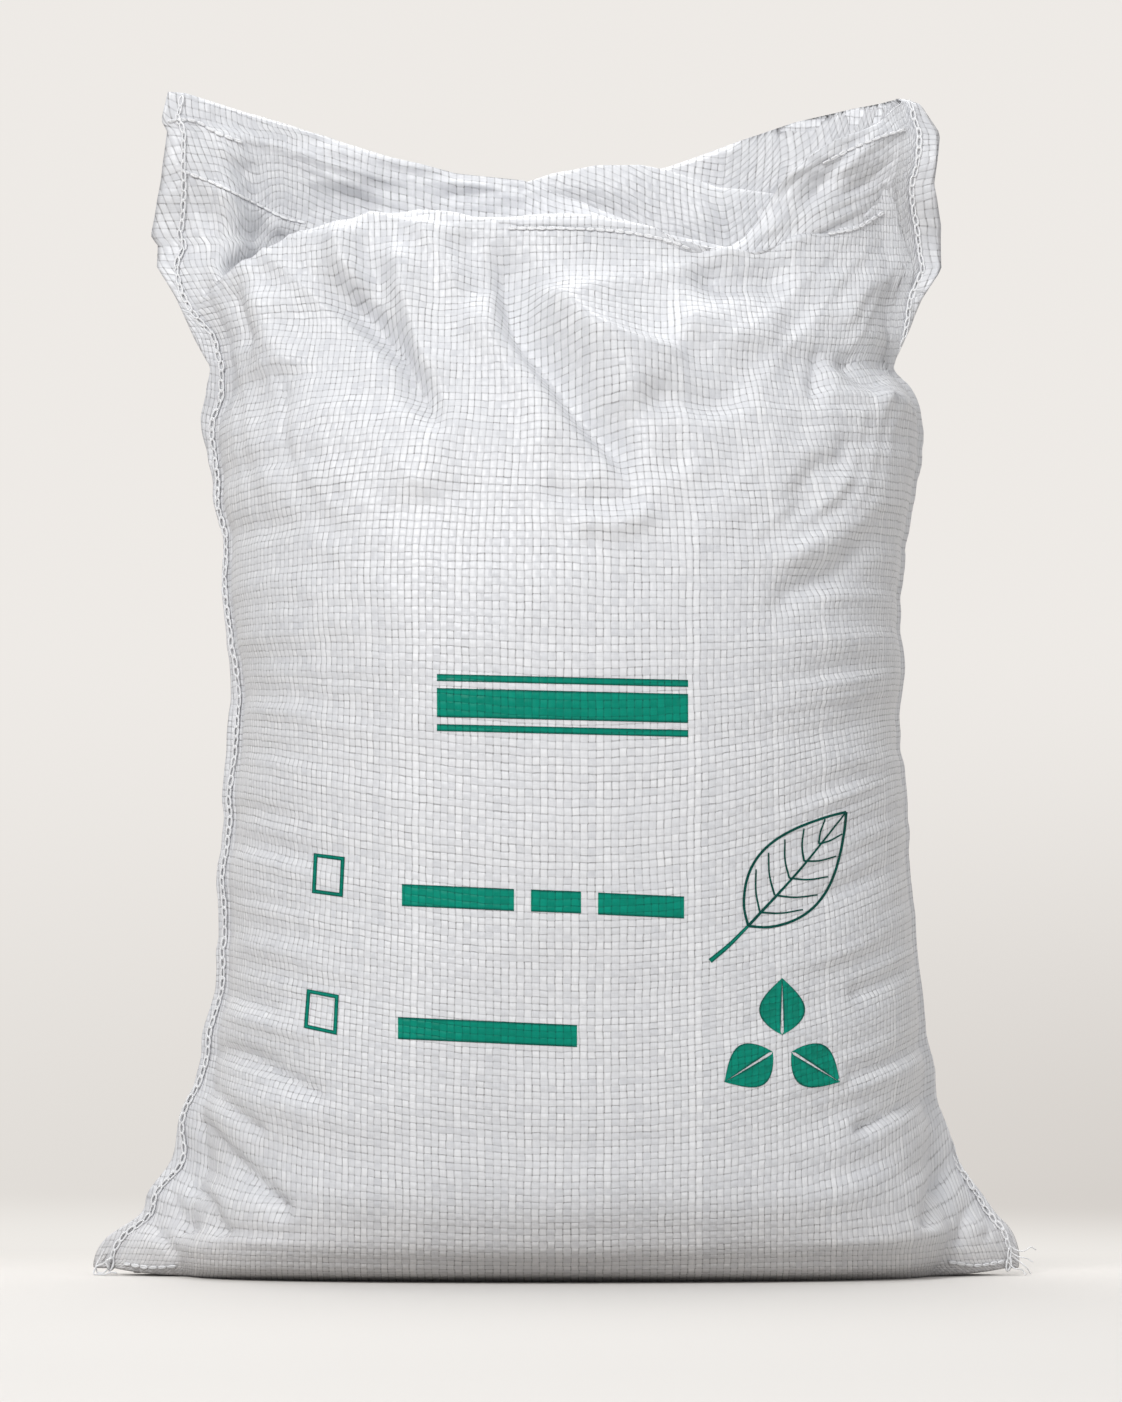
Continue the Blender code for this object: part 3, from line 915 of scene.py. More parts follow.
    def line(self, points: Table, depth: Table | float) -> Array:
        """Heights along the columns of a fold line at the mouth.

        Args:
            points: The line in picture points.
            depth: Its y, or a table of its y by share.

        Returns:
            One height for each column.
        """
        places = self.view.at(points)
        for _ in range(3):
            reach = np.where(places[:, 0] < 0, self.seam(places[:, 2], -1), self.seam(places[:, 2], 1))
            share = np.clip(places[:, 0] / reach, -1, 1)
            y = smooth(depth, share) if isinstance(depth, tuple) else np.full(len(share), depth)
            places = self.view.at(points, y)
        share[0], share[-1] = -1, 1
        order = np.argsort(share, kind="stable")
        return np.interp(self.share, share[order], places[order, 2])

    def ridge(self, z: Array, depth: Table, thick: float) -> Array:
        """Points of a fold line at the mouth, this far behind the seam's middle at both ends."""
        y = smooth(depth, self.share) + thick * np.abs(self.share) ** 20
        return np.stack([self.across(self.share, z), y, z], axis=-1)

    def wall(self, lower: Array, upper: Array, rows: int, belly: float) -> Array:
        """Rows of cloth from one fold line to the next, the first one left out.

        Args:
            lower: Points to start from.
            upper: Points to end on.
            rows: How many rows.
            belly: How far the cloth sags towards the front, in metres.

        Returns:
            Array of rows, columns and coordinates.
        """
        t = (np.arange(1, rows + 1) / rows)[:, None, None]
        made = lower * (1 - t) + upper * t
        made[..., 0] = self.across(np.broadcast_to(self.share, made.shape[:2]), made[..., 2])
        made[..., 1] -= belly * np.sin(math.pi * t[..., 0]) * (1 - self.share**4)
        return made

    def rows(self) -> Array:
        """Shares of the height of the wall rows, closer together near the floor."""
        t = np.linspace(0, 1, self.wall_rows + 1)[1:]
        return np.interp(t, *zip(*self.ROW_PLACES))

    def shape(self) -> None:
        """Lay out both panels and the mouth."""
        share = self.share
        lift = self.corner_lift * np.abs(share) ** 12
        heights = lift + (self.line(self.bulge, self.bulge_y) - lift) * self.rows()[:, None]
        front_wall = self.panel(heights, np.broadcast_to(share, heights.shape), -1)
        base = self.base(lift)
        a, c, b = (
            self.ridge(self.line(points, depth), depth, thick * self.seam_thickness / 2)
            for points, depth, thick in (
                (self.front_layer, self.front_layer_depth, -1),
                (self.middle_layer, self.middle_layer_depth, 0),
                (self.back_layer, self.back_layer_depth, 1),
            )
        )
        bulge = front_wall[-1]
        slack = 1 - np.abs(share) ** 6
        behind = (0.4 + 0.6 * (1 - ease(*self.BEHIND, share)))[:, None]
        shut = ease(*self.EAR_SHUT, -share)  # the left ear runs on from the front beside its seam
        behind = behind * (1 - 0.9 * shut[:, None])
        slack *= 1 - shut
        valley = bulge * (1 - behind) + a * behind
        middle = 1 - ease(*self.VALLEY_SIDES, np.abs(share))
        valley[:, 1] += self.VALLEY_BACK * np.maximum(behind[:, 0] - 0.4, 0) * middle
        valley[:, 2] = np.minimum(bulge[:, 2], a[:, 2]) - self.first_valley * slack
        valley[:, 0] = self.across(share, valley[:, 2])
        second, third = (a + c) / 2, (c + b) / 2
        for between, near, far in ((second, a, c), (third, c, b)):
            between[:, 2] = np.minimum(near[:, 2], far[:, 2]) - self.other_valleys * slack
        roll = self.wall(bulge, valley, self.roll_rows, 0.0)
        ear = self.wall(valley, a, self.ear_rows, self.ear_belly)
        stops = (a, second, c, third, b)
        counts = (self.layer_rows, self.layer_rows, self.layer_rows, self.rim_rows)
        layers = [self.wall(low, high, rows, 0.0) for low, high, rows in zip(stops, stops[1:], counts)]
        self.front = np.concatenate([base, front_wall, roll, ear, *layers])
        self.marks = np.cumsum([self.foot_rows, self.wall_rows, self.roll_rows, self.ear_rows])
        self.shape_back(np.concatenate([heights, ear[..., 2]]), lift, base, b)

    def base(self, lift: Array) -> Array:
        """Rows of the front half of the base, from the bottom seam out to the foot."""
        foot = self.panel(np.zeros_like(self.share), self.share, -1)
        inward = np.linspace(0, 1, self.foot_rows + 1)[:, None]
        groove = self.base_groove * (1 - ease(0, 0.12, inward)) * (1 - self.share**8)
        x = np.broadcast_to(foot[:, 0], (self.foot_rows + 1, len(self.share)))
        return np.stack([x, foot[:, 1] * inward, lift + groove], axis=-1)

    def shape_back(self, heights: Array, lift: Array, base: Array, rim: Array) -> None:
        """Lay out the back panel, with its rows level with the front's at the seams.

        Args:
            heights: Heights of the front's rows up to its first layer.
            lift: Height of the lowest row.
            base: Rows of the front half of the base.
            rim: Points of the back's upper edge.
        """
        share = self.share
        seam_z = heights[:, [0, -1]]
        climbed = (seam_z - lift[[0, -1]]) / (seam_z[-1] - lift[[0, -1]])
        mixed = climbed[:, :1] + (climbed[:, 1:] - climbed[:, :1]) * (1 + share) / 2
        back_heights = lift + (rim[:, 2] - lift) * mixed
        back_wall = self.panel(back_heights, np.broadcast_to(share, back_heights.shape), 1)
        back_wall[-1] = rim
        near_rim = ease(0.90, 1.0, mixed)[..., None]
        offset = (rim - self.panel(rim[:, 2], share, 1)) * np.array([0, 1, 0])
        back_wall[:-1] += (offset * near_rim)[:-1]
        self.back = np.concatenate([base * np.array([1, -1, 1]), back_wall])

    def smoothed(self) -> Array:
        """The front, with each row averaged with its neighbours."""
        made = self.front.copy()
        made[1:-1] = (self.front[:-2] + 2 * self.front[1:-1] + self.front[2:]) / 4
        return made

    def soften(self) -> None:
        """Round the bulge, the bottom of the first valley and the layers."""
        hem = ease(*self.HEM_FROM, self.share) * (1 - ease(*self.HEM_TO, self.share))
        inner = 1 - np.abs(self.share) ** 10
        bulge, valley, last = self.marks[1:4]
        near_bulge = slice(bulge - 8, bulge + 6)
        before = self.front[bulge, :, 2].copy()
        for turn in range(10):
            weight = np.zeros(self.front.shape[:2])
            weight[near_bulge] = 1 - hem * (0.9 if turn > 1 else 0.4)
            weight[valley - 4: valley + 5] = 1
            weight *= inner
            self.front += (self.smoothed() - self.front) * weight[..., None]
        lost = before - self.front[near_bulge, :, 2].max(axis=0)
        rows = np.arange(len(self.front))
        near = ease(bulge - 50, bulge - 4, rows) * (1 - ease(bulge + 1, valley, rows))
        self.front[..., 2] += near[:, None] * lost
        for _ in range(2):
            self.front[last + 1: -1] += (self.smoothed() - self.front)[last + 1: -1] * inner[:, None]

    def measured(self, points: Array) -> Array:
        """How far across the flat cloth each point is, from the length of its row."""
        centre = self.columns // 2
        step = np.linalg.norm(np.diff(points, axis=1), axis=2)
        run = np.concatenate([np.zeros((len(points), 1)), np.cumsum(step, axis=1)], axis=1)
        return self.cloth_width / 2 + run - run[:, centre: centre + 1] + points[:, centre: centre + 1, 0]

    def maps(self) -> None:
        """Lay the weave out on both panels: U across and V up, in metres of cloth."""
        heights = np.linspace(0, 0.65, 400)
        profile = np.stack([smooth(self.front_depth, heights), heights], axis=1)
        arc = along(profile) + profile[0, 0]
        foot, (bulge, ear, top) = self.foot_rows, self.marks[1:4]
        u = self.measured(self.front)
        u[: foot + 1] = u[foot + 1]
        u[bulge + 1:] = u[bulge]
        x, z = self.front[..., 0], self.front[..., 2]
        # How far the rows of tapes hang down, low on the sack and at its shoulders
        low = 0.8 * np.minimum(x - 0.02, 0) ** 2 + 1.5 * np.maximum(x - 0.02, 0) ** 2
        high = -0.03 * x - 0.5 * np.minimum(x + 0.05, 0) ** 2 + 0.3 * np.maximum(x - 0.04, 0) ** 2
        drift = low + (high - low) * ease(*self.SHOULDERS, z)
        v = np.interp(z - drift * ease(0, 0.10, z), heights, arc) + smooth(self.stretch, z)
        v[: foot + 1] = np.abs(self.front[: foot + 1, :, 1])
        fall = np.linalg.norm(np.diff(self.front, axis=0), axis=2)
        for row in range(bulge + 1, ear + 1):
            v[row] = v[row - 1] + fall[row - 1]
        v[top] = self.cloth_height
        for row in range(top - 1, ear, -1):
            v[row] = v[row + 1] - fall[row]
        shut = ease(*self.MAP_SHUT, -self.share)
        jump = v[ear + 1] - v[ear] - fall[ear]
        v[ear + 1: top] -= jump * shut * np.linspace(1, 0, top - ear - 1)[:, None]
        for row in range(top + 1, len(v)):
            v[row] = v[row - 1] + fall[row - 1]
        self.front_maps = self.strained(np.stack([u, v], axis=-1), self.front, -1)
        self.shade_mouth(shut)
        u = self.measured(self.back)
        u[: foot + 1] = u[foot + 1]
        v = np.interp(self.back[..., 2], heights, arc) + smooth(self.stretch, self.back[..., 2])
        v[: foot + 1] = self.back[: foot + 1, :, 1]
        self.back_maps = self.strained(np.stack([1.0 - u, v + 1.0], axis=-1), self.back, 1)

    def shade_mouth(self, shut: Array) -> None:
        """Note the painted shade on each point of the front: how deep inside the mouth it lies, and the
        pocket behind the bulge.

        Args:
            shut: 1 in the columns where the ear runs on from the front, so that nothing is inside.
        """
        bulge, ear, top = self.marks[1:4]
        layer, rim = self.layer_rows, self.rim_rows
        steps = (0.0, 0.55, 0.75, 0.0, 0.35, 0.9, 0.75)
        spots = np.cumsum([top, layer, layer * 0.5, layer * 0.5, layer, rim * 0.4, rim * 0.6])
        rows = np.arange(len(self.front))
        # Painted shade in the pocket behind the bulge, fading out up the ear
        pocket_shade = 0.55 * (1 - ease(ear + 12, ear + 44, rows)) * (rows > bulge) * (rows <= top)
        self.inside = np.interp(rows, spots, steps)[:, None] + pocket_shade[:, None] * (1 - shut)

    def strained(self, maps: Array, points: Array, facing: int) -> Array:
        """Crowd the tapes towards the sides and let them wander where the cloth is gathered.

        Args:
            maps: Rows and columns on the flat cloth.
            points: The same rows and columns in space.
            facing: -1 for the front, 1 for the back.

        Returns:
            The new places on the flat cloth.
        """
        x, z = points[..., 0], points[..., 2]
        made = maps.copy()
        outward = 5.0 * x**3 + 0.16 * x * ease(*self.CROWDED, z)
        if facing < 0:
            bulge, ear, top = self.marks[1:4]
            rows = np.arange(len(points))[:, None]
            shut = ease(*self.EDGE_SHUT, -self.share)
            quick, slow = ease(bulge, ear, rows), ease(bulge - 20, top + 10, rows)
            outward = outward * (1 - quick * (1 - shut) - slow * shut)
            outward -= 0.06 * x * (rows > ear) * (1 - shut)
        made[..., 0] -= outward * facing
        seed = self.WEAVE_SEEDS[facing > 0]
        gathered = 0.35 + 0.65 * ease(*self.GATHERED, z)
        for k in (0, 1):
            for later, cells, reach in self.WANDER:
                made[..., k] += noise(seed + later + k, x * cells, z * cells) * reach * gathered
        return made

    @staticmethod
    def normals(points: Array) -> Array:
        """Directions square to a grid of points, from its columns and rows."""
        return unit(np.cross(np.gradient(points, axis=1), np.gradient(points, axis=0)))

    def wrinkle(self) -> None:
        """Press the creases and the small puckers of the sides into the cloth."""
        bulge, ear, top = self.marks[1:4]
        seen = self.view.seen(self.front)
        out = self.normals(self.front)
        out[ear:] = np.array([0, -1, 0])
        lift = np.zeros(self.front.shape[:2])
        lift[: bulge + 1] = creased(Place.FRONT, seen[: bulge + 1])
        lift[ear: top + 1] = creased(Place.EAR, seen[ear: top + 1])
        lift[bulge - 3: bulge + 1] *= np.linspace(1, 0.6, 4)[:, None]
        lift += self.puckers(self.front, self.front_maps, self.PUCKER_SEEDS[0])
        lift[ear: top + 1] += self.crumpled(self.front[ear: top + 1])
        wall = slice(self.foot_rows + 1, bulge + 1)
        lift[wall] += self.sag(self.front, self.SAG_SEEDS[0])[wall]
        lift[bulge + 1: ear] = lift[bulge] * np.linspace(1, 0, ear - bulge - 1)[:, None]
        self.front = self.pushed(self.front, out, lift)
        wide = np.broadcast_to(self.share, self.front.shape[:2])
        limit = self.panel(self.front[..., 2], wide, 1)[..., 1] * 0.8 - 0.001
        self.front[bulge + 1: top, :, 1] = np.minimum(self.front[..., 1], limit)[bulge + 1: top]
        lift = self.puckers(self.back, self.back_maps, self.PUCKER_SEEDS[1])
        lift = creased(Place.BACK, self.view.seen(self.back), lift + self.sag(self.back, self.SAG_SEEDS[1]))
        self.back = self.pushed(self.back, -self.normals(self.back), lift)
        for points in (self.front, self.back):
            points[..., 1] += smooth(self.wave, points[..., 2]) * np.abs(self.share) ** 6

    def pushed(self, points: Array, out: Array, lift: Array) -> Array:
        """Move a panel's points out, except at the floor, the seams and the last row.

        Args:
            points: Rows and columns of places.
            out: The direction at each.
            lift: How far each moves.

        Returns:
            The new places.
        """
        lift[-1] = 0
        inner = 1 - np.abs(self.share) ** 9
        floor = ease(*self.ABOVE_FLOOR, points[..., 2])
        return points + out * (lift * inner * floor)[..., None]

    def puckers(self, points: Array, maps: Array, seed: int) -> Array:
        """Small folds that run in from the side seams, and faint ones all over.

        Args:
            points: Rows and columns of places.
            maps: The same rows and columns on the flat cloth.
            seed: The first seed.

        Returns:
            How far each point moves out.
        """
        x, z = points[..., 0], points[..., 2]
        wide = np.abs(self.share)
        beside = ease(*self.BANDS_FROM, wide) * (1 - 0.5 * ease(0.97, 1, wide))
        corner, top = 1 - ease(*self.ABOVE_FOOT, z), ease(*self.RUMPLED, z)
        bands = layered(seed, x, maps[..., 1], self.SIDE_BANDS)
        all_over = layered(seed + 2, x, z, self.ALL_OVER)
        rumple = noise(seed + 4, x * 45 + z * 20, z * 45 - x * 15) * self.RUMPLE_HEIGHT * top
        low = noise(seed + 5, x * 40, z * 60) * self.CORNER_HEIGHT * corner
        low *= ease(*self.CORNER_FOLDS_FROM, wide)
        return bands * beside + all_over + rumple + low + self.radiating(x, z, seed + 6)

    def radiating(self, x: Array, z: Array, seed: int) -> Array:
        """Sharp-backed folds that fan out from the roots of both ears.

        Args:
            x: Across.
            z: Height.
            seed: The first seed.

        Returns:
            How far each point moves out.
        """
        total = np.zeros(x.shape)
        for side in (-1, 1):
            away, up = (x - side * self.EAR_ROOT[0]) * -side, z - self.EAR_ROOT[1]
            reach = np.hypot(away, up)
            turn = np.arctan2(up, np.maximum(away, 0.001)) + noise(seed + 2, x * 14, z * 14) * 0.10
            folds = sum(
                (1 - 2.2 * np.abs(noise(seed + 3 * k + side, turn * around, reach * outward))) * height
                for k, (around, outward, height) in enumerate(self.FAN)
            )
            total += folds * (ease(*self.FAN_FROM, reach) * (1 - ease(*self.FAN_TO, reach)))
        return total * (1 - ease(*self.FAN_TOP, z))

    def crumpled(self, points: Array) -> Array:
        """Long thin folds that run along the ears, down from their corners.

        Args:
            points: Rows and columns of places.

        Returns:
            How far each point moves out.
        """
        x, z = points[..., 0], points[..., 2]
        wander = noise(self.CRUMPLE_SEED + 2, x * 25, z * 25) * 0.004
        left, right = self.EAR_LEANS
        lean = z + np.where(x < 0, left, right) * x + wander
        folds = sum(
            (1 - 2.4 * np.abs(noise(self.CRUMPLE_SEED + k, x * length, lean * across))) * height
            for k, (length, across, height) in enumerate(self.CRUMPLES)
        )
        return folds * ease(*self.CRUMPLED_FROM, np.abs(self.share))

    def sag(self, points: Array, seed: int) -> Array:
        """Broad lumps of the filling under the cloth."""
        return layered(seed, points[..., 0], points[..., 2], self.LUMPS)

    def with_margins(self, points: Array, maps: Array, facing: int) -> tuple[Array, Array]:
        """Add the seam margins to both sides of a panel.

        Args:
            points: Rows and columns of places.
            maps: The same rows and columns on the flat cloth.
            facing: -1 for the front, 1 for the back.

        Returns:
            Wider arrays of both.
        """
        for side, column in ((-1, 0), (1, -1)):
            seam, flat = points[:, column], maps[:, column]
            height = seam[:, 2]
            margin = self.outline(height, side) - self.seam(height, side)
            middle, outer = seam.copy(), seam.copy()
            back = self.turned(height, side)
            middle[:, 0] += side * margin * 0.8 - back * self.TURNED_MIDDLE[0]
            middle[:, 1] += back * self.TURNED_MIDDLE[1]
            outer[:, 0] += side * margin - back * self.TURNED_EDGE[0]
            outer[:, 1] = smooth(self.wave, height) + back * self.TURNED_EDGE[1]
            margin = margin + back * 0.006
            turn = -side * facing
            loose = 0.4 + 0.6 * ease(*self.LOOSE_TOP, height) + 0.6 * (1 - ease(*self.LOOSE_FOOT, height))
            loose += 0.7 * ease(*self.LOOSE_EAR, height)
            sway = sum(
                noise(seed + column, height * cells, height * 0) * reach * loose
                for seed, (cells, reach) in zip(self.SWAY_SEEDS, self.SWAY)
            )
            middle[:, 1] += sway
            outer[:, 1] += sway * 1.6
            dense = np.where((facing < 0) & (np.arange(len(seam)) > self.marks[2]), 0.9, 1.9)
            near = flat + np.stack([turn * margin * dense * 0.8, sway * 0.8], axis=1)
            far = flat + np.stack([turn * margin * dense, sway], axis=1)
            added, added_maps = (np.stack(pair[::side], axis=1) for pair in ([middle, outer], [near, far]))
            points = np.concatenate([added, points] if side < 0 else [points, added], axis=1)
            maps = np.concatenate([added_maps, maps] if side < 0 else [maps, added_maps], axis=1)
        return points, maps

    def build(self) -> Any:
        """Make the sack's mesh.

        Returns:
            The sack as an object, with its cloth map.
        """
        self.shape()
        self.soften()
        self.maps()
        self.wrinkle()
        front, front_maps = self.with_margins(self.front, self.front_maps, -1)
        back, back_maps = self.with_margins(self.back, self.back_maps, 1)
        # Painted shade of the mouth on the front's points, none on the margins and on the back
        shade_in_mouth = np.pad(self.inside, ((0, 0), (2, 2))).ravel()
        sack = made_object(
            "sack_cloth",
            np.concatenate([front.reshape(-1, 3), back.reshape(-1, 3)]),
            grid_faces(*front.shape[:2]) + self.back_faces(back, front[..., 0].size),
            np.concatenate([front_maps.reshape(-1, 2), back_maps.reshape(-1, 2)]),
        )
        noted(sack, "inside", np.concatenate([shade_in_mouth, np.zeros(back[..., 0].size)]))
        bm = bmesh.new()
        bm.from_mesh(sack.data)
        bmesh.ops.delete(bm, geom=[v for v in bm.verts if not v.link_faces], context="VERTS")
        bmesh.ops.remove_doubles(bm, verts=bm.verts, dist=self.SAME_PLACE)
        bmesh.ops.dissolve_degenerate(bm, edges=bm.edges, dist=1e-7)
        open_edges = sum(1 for edge in bm.edges if not edge.is_manifold)
        bm.to_mesh(sack.data)
        bm.free()
        log.info("sack cloth: %d faces, %d open edges", len(sack.data.polygons), open_edges)
        return sack

    @staticmethod
    def back_faces(back: Array, start: int) -> list[Face]:
        """Faces of the back panel, two columns wide between its margins.

        Args:
            back: Rows and columns of places.
            start: The first point's place in the list of points.

        Returns:
            The faces, with every column's point in those that meet the front.
        """
        rows, count = back.shape[:2]
        stops = [0, 1, 2, *range(4, count - 3, 2), count - 3, count - 2, count - 1]
        faces = []
        for row in range(rows - 1):
            here = start + row * count
            for left, right in zip(stops, stops[1:]):
                lower, upper = (
                    [base + k for k in (range(left, right + 1) if whole else (left, right))]
                    for base, whole in ((here, row == 0), (here + count, row == rows - 2))
                )
                faces.append((*upper, *reversed(lower)))
        return faces


class Surface:
    """The finished cloth, to lay other pieces on."""

    def __init__(self, sack: Any, view: View) -> None:
        """Read the sack's faces and its cloth map.

        Args:
            sack: The cloth's object.
            view: The camera.
        """
        self.view = view
        bm = bmesh.new()
        bm.from_mesh(sack.data)
        bmesh.ops.triangulate(bm, faces=bm.faces)
        layer = bm.loops.layers.uv["cloth"]
        self.corners = [[loop.vert.co.copy() for loop in face.loops] for face in bm.faces]
        self.maps = [[loop[layer].uv.copy() for loop in face.loops] for face in bm.faces]
        self.normals = [[loop.vert.normal.copy() for loop in face.loops] for face in bm.faces]
        self.tree = BVHTree.FromBMesh(bm)
        bm.free()

    def shares(self, face: int, place: Vector) -> tuple[float, float, float]:
        """How much each corner of a triangle counts at a place on it.

        Args:
            face: The triangle's number.
            place: The place.

        Returns:
            Three shares that add up to 1.
        """
        a, b, c = self.corners[face]
        first, second, to = b - a, c - a, place - a
        d00, d01, d11 = first.dot(first), first.dot(second), second.dot(second)
        d20, d21 = to.dot(first), to.dot(second)
        area = max(d00 * d11 - d01 * d01, 1e-18)
        v = (d11 * d20 - d01 * d21) / area
        w = (d00 * d21 - d01 * d20) / area
        return 1 - v - w, v, w

    def under(self, point: tuple[float, float]) -> tuple[Vector, Vector, Vector] | None:
        """The cloth behind a picture point.

        Args:
            point: The picture point.

        Returns:
            The place, the direction out of the cloth and the place on the flat cloth, or None.
        """
        direction = Vector(self.view.ray(np.array(point, float))).normalized()
        hit, _, face, _ = self.tree.ray_cast(Vector(self.view.eye), direction)
        if hit is None:
            return None
        shares = self.shares(face, hit)
        normal, flat = (
            sum((item * share for item, share in zip(corners[face], shares)), start=Vector([0] * size))
            for corners, size in ((self.normals, 3), (self.maps, 2))
        )
        normal.normalize()
        if normal.dot(direction) > 0:
            normal.negate()
        return hit, normal, flat

    def traced(self, points: Table, step: float, proud: float) -> tuple[Array, Array]:
        """Lay a line of picture points on the cloth.

        Args:
            points: The line.
            step: Distance between the laid points, in picture points.
            proud: How far it stands off the cloth, in metres.

        Returns:
            Its places, and the directions out of the cloth there.
        """
        places, outward = [], []
        for point in resampled(np.array(points, float), step):
            found = self.under(tuple(point))
            if found:
                places.append(found[0] + found[1] * proud)
                outward.append(found[1])
        return np.array(places), np.array(outward)


def noted(piece: Any, name: str, values: Array | list[float]) -> None:
    """Give each point of a piece a number under this name."""
    attribute = piece.data.attributes.new(name, "FLOAT", "POINT")
    attribute.data.foreach_set("value", np.asarray(values, np.float32))


def made_object(name: str, places: Array, faces: list[Face], flat: Array | None = None) -> Any:
    """Make a mesh object.

    Args:
        name: Its name.
        places: Its points.
        faces: Its faces, by place in the list of points.
        flat: One place on the flat cloth for each point, where it is cloth.

    Returns:
        The object.
    """
    mesh = bpy.data.meshes.new(name)
    mesh.from_pydata(np.asarray(places).tolist(), [], faces)
    if flat is not None:
        layer = mesh.uv_layers.new(name="cloth")
        corners = np.zeros(len(mesh.loops), int)
        mesh.loops.foreach_get("vertex_index", corners)
        layer.data.foreach_set("uv", np.asarray(flat, np.float32)[corners].ravel())
    mesh.shade_smooth()
    return linked(name, mesh)


def tube(line: Array, radii: Array, sides: int = 6) -> tuple[Array, list[Face]]:
    """A closed round tube along a line.

    Args:
        line: Its points.
        radii: Its radius at each point.
        sides: Corners of the cross section.

    Returns:
        Points and faces.
    """
    run = unit(np.gradient(line, axis=0))
    side = unit(np.cross(run, np.array([0.13, -0.2, 0.97])))
    rise = np.cross(side, run)
    turn = 2 * math.pi * np.arange(sides)[None, :, None] / sides
    ring = np.cos(turn) * side[:, None] + np.sin(turn) * rise[:, None]
    places = (line[:, None] + ring * radii[:, None, None]).reshape(-1, 3)
    faces: list[Face] = []
    for row in range(len(line) - 1):
        for k in range(sides):
            after = (k + 1) % sides
            a, b = row * sides, (row + 1) * sides
            faces.append((a + k, b + k, b + after, a + after))
    last = (len(line) - 1) * sides
    faces.append(tuple(range(sides)))
    faces.append(tuple(last + k for k in reversed(range(sides))))
    return places, faces


def joined(pieces: list[tuple[Array, list[Face]]]) -> tuple[Array, list[Face]]:
    """Put several lists of points and faces together.

    Args:
        pieces: Points and faces of each one.

    Returns:
        Points and faces of the whole.
    """
    places, faces, count = [], [], 0
    for some, more in pieces:
        places.append(some)
        faces += [tuple(k + count for k in face) for face in more]
        count += len(some)
    return np.concatenate(places), faces


# Sewing


class Stitch(Enum):
    """The form of one stitch."""

    CHAIN = "chain"
    RUNNING = "running"


@dataclass
class StitchTree:
    """Geometry Nodes that lay stitches along lines, each line facing out of the cloth."""

    corners: int = 10
    thread_sides: int = 4

    INPUTS = (
        ("Geometry", "NodeSocketGeometry", None),
        ("Spacing", "NodeSocketFloat", 0.0055),
        ("Length", "NodeSocketFloat", 0.0062),
        ("Width", "NodeSocketFloat", 0.0021),
        ("Thread", "NodeSocketFloat", 0.0004),
        ("Tilt", "NodeSocketFloat", 0.25),
        ("Seed", "NodeSocketInt", 7),
        ("Material", "NodeSocketMaterial", None),
    )
    TILT = {"X": 1.0, "Y": 0.3, "Z": 0.4}  # about the line, across it and flat on the cloth
    SCALES = ((0.9, 0.75, 1.0), (1.1, 1.15, 1.0))

    def build(self) -> Any:
        """Make the tree."""
        tree = bpy.data.node_groups.new("stitches", "GeometryNodeTree")
        tree.is_modifier = True
        for name, kind, value in self.INPUTS:
            socket = tree.interface.new_socket(name=name, in_out="INPUT", socket_type=kind)
            if value is not None:
                socket.default_value = value
        tree.interface.new_socket(name="Geometry", in_out="OUTPUT", socket_type="NodeSocketGeometry")
        inputs = tree.nodes.new("NodeGroupInput").outputs
        given = {name: Value(tree, inputs[name]) for name, _, _ in self.INPUTS}
        made = partial(taken, tree)
        vectors = {"data_type": "FLOAT_VECTOR"}
        lines = made("GeometryNodeMeshToCurve", Mesh=given["Geometry"])
        evenly = {"mode": "LENGTH"}
        spaced = made("GeometryNodeResampleCurve", 0, evenly, Curve=lines, Length=given["Spacing"])
        circle = partial(made, "GeometryNodeCurvePrimitiveCircle", "Curve")
        ring = circle(Resolution=self.corners, Radius=0.5)
        size = made("ShaderNodeCombineXYZ", X=given["Length"], Y=given["Width"], Z=1.0)
        loop = made("GeometryNodeTransform", Geometry=ring, Scale=size)
        section = circle(Resolution=self.thread_sides, Radius=given["Thread"])
        stitch = made("GeometryNodeCurveToMesh", Curve=loop, **{"Profile Curve": section})
        run = made("GeometryNodeInputTangent")
        outward = made("GeometryNodeInputNamedAttribute", "Attribute", vectors, Name="outward")
        laid = made("FunctionNodeAlignRotationToVector", 0, {"axis": "X"}, Vector=run)
        upright = {"axis": "Z", "pivot_axis": "X"}
        faced = made("FunctionNodeAlignRotationToVector", 0, upright, Rotation=laid, Vector=outward)
        tilt = given["Tilt"]
        low, high = (
            made("ShaderNodeCombineXYZ", **{axis: tilt * (way * k) for axis, k in self.TILT.items()})
            for way in (-1.0, 1.0)
        )
        wobble = made("FunctionNodeRandomValue", "Value", vectors, _0=low, _1=high, Seed=given["Seed"])
        turned = made("FunctionNodeEulerToRotation", Euler=wobble)
        rotation = made("FunctionNodeRotateRotation", 0, {"rotation_space": "LOCAL"}, _0=faced, _1=turned)
        small, large = self.SCALES
        seed = given["Seed"] + 1.0
        scale = made("FunctionNodeRandomValue", "Value", vectors, _0=small, _1=large, Seed=seed)
        placed = made(
            "GeometryNodeInstanceOnPoints", Points=spaced, Instance=stitch, Rotation=rotation, Scale=scale
        )
        real = made("GeometryNodeRealizeInstances", Geometry=placed)
        dressed = made("GeometryNodeSetMaterial", Geometry=real, Material=given["Material"])
        put(tree, tree.nodes.new("NodeGroupOutput").inputs[0], dressed)
        return tree


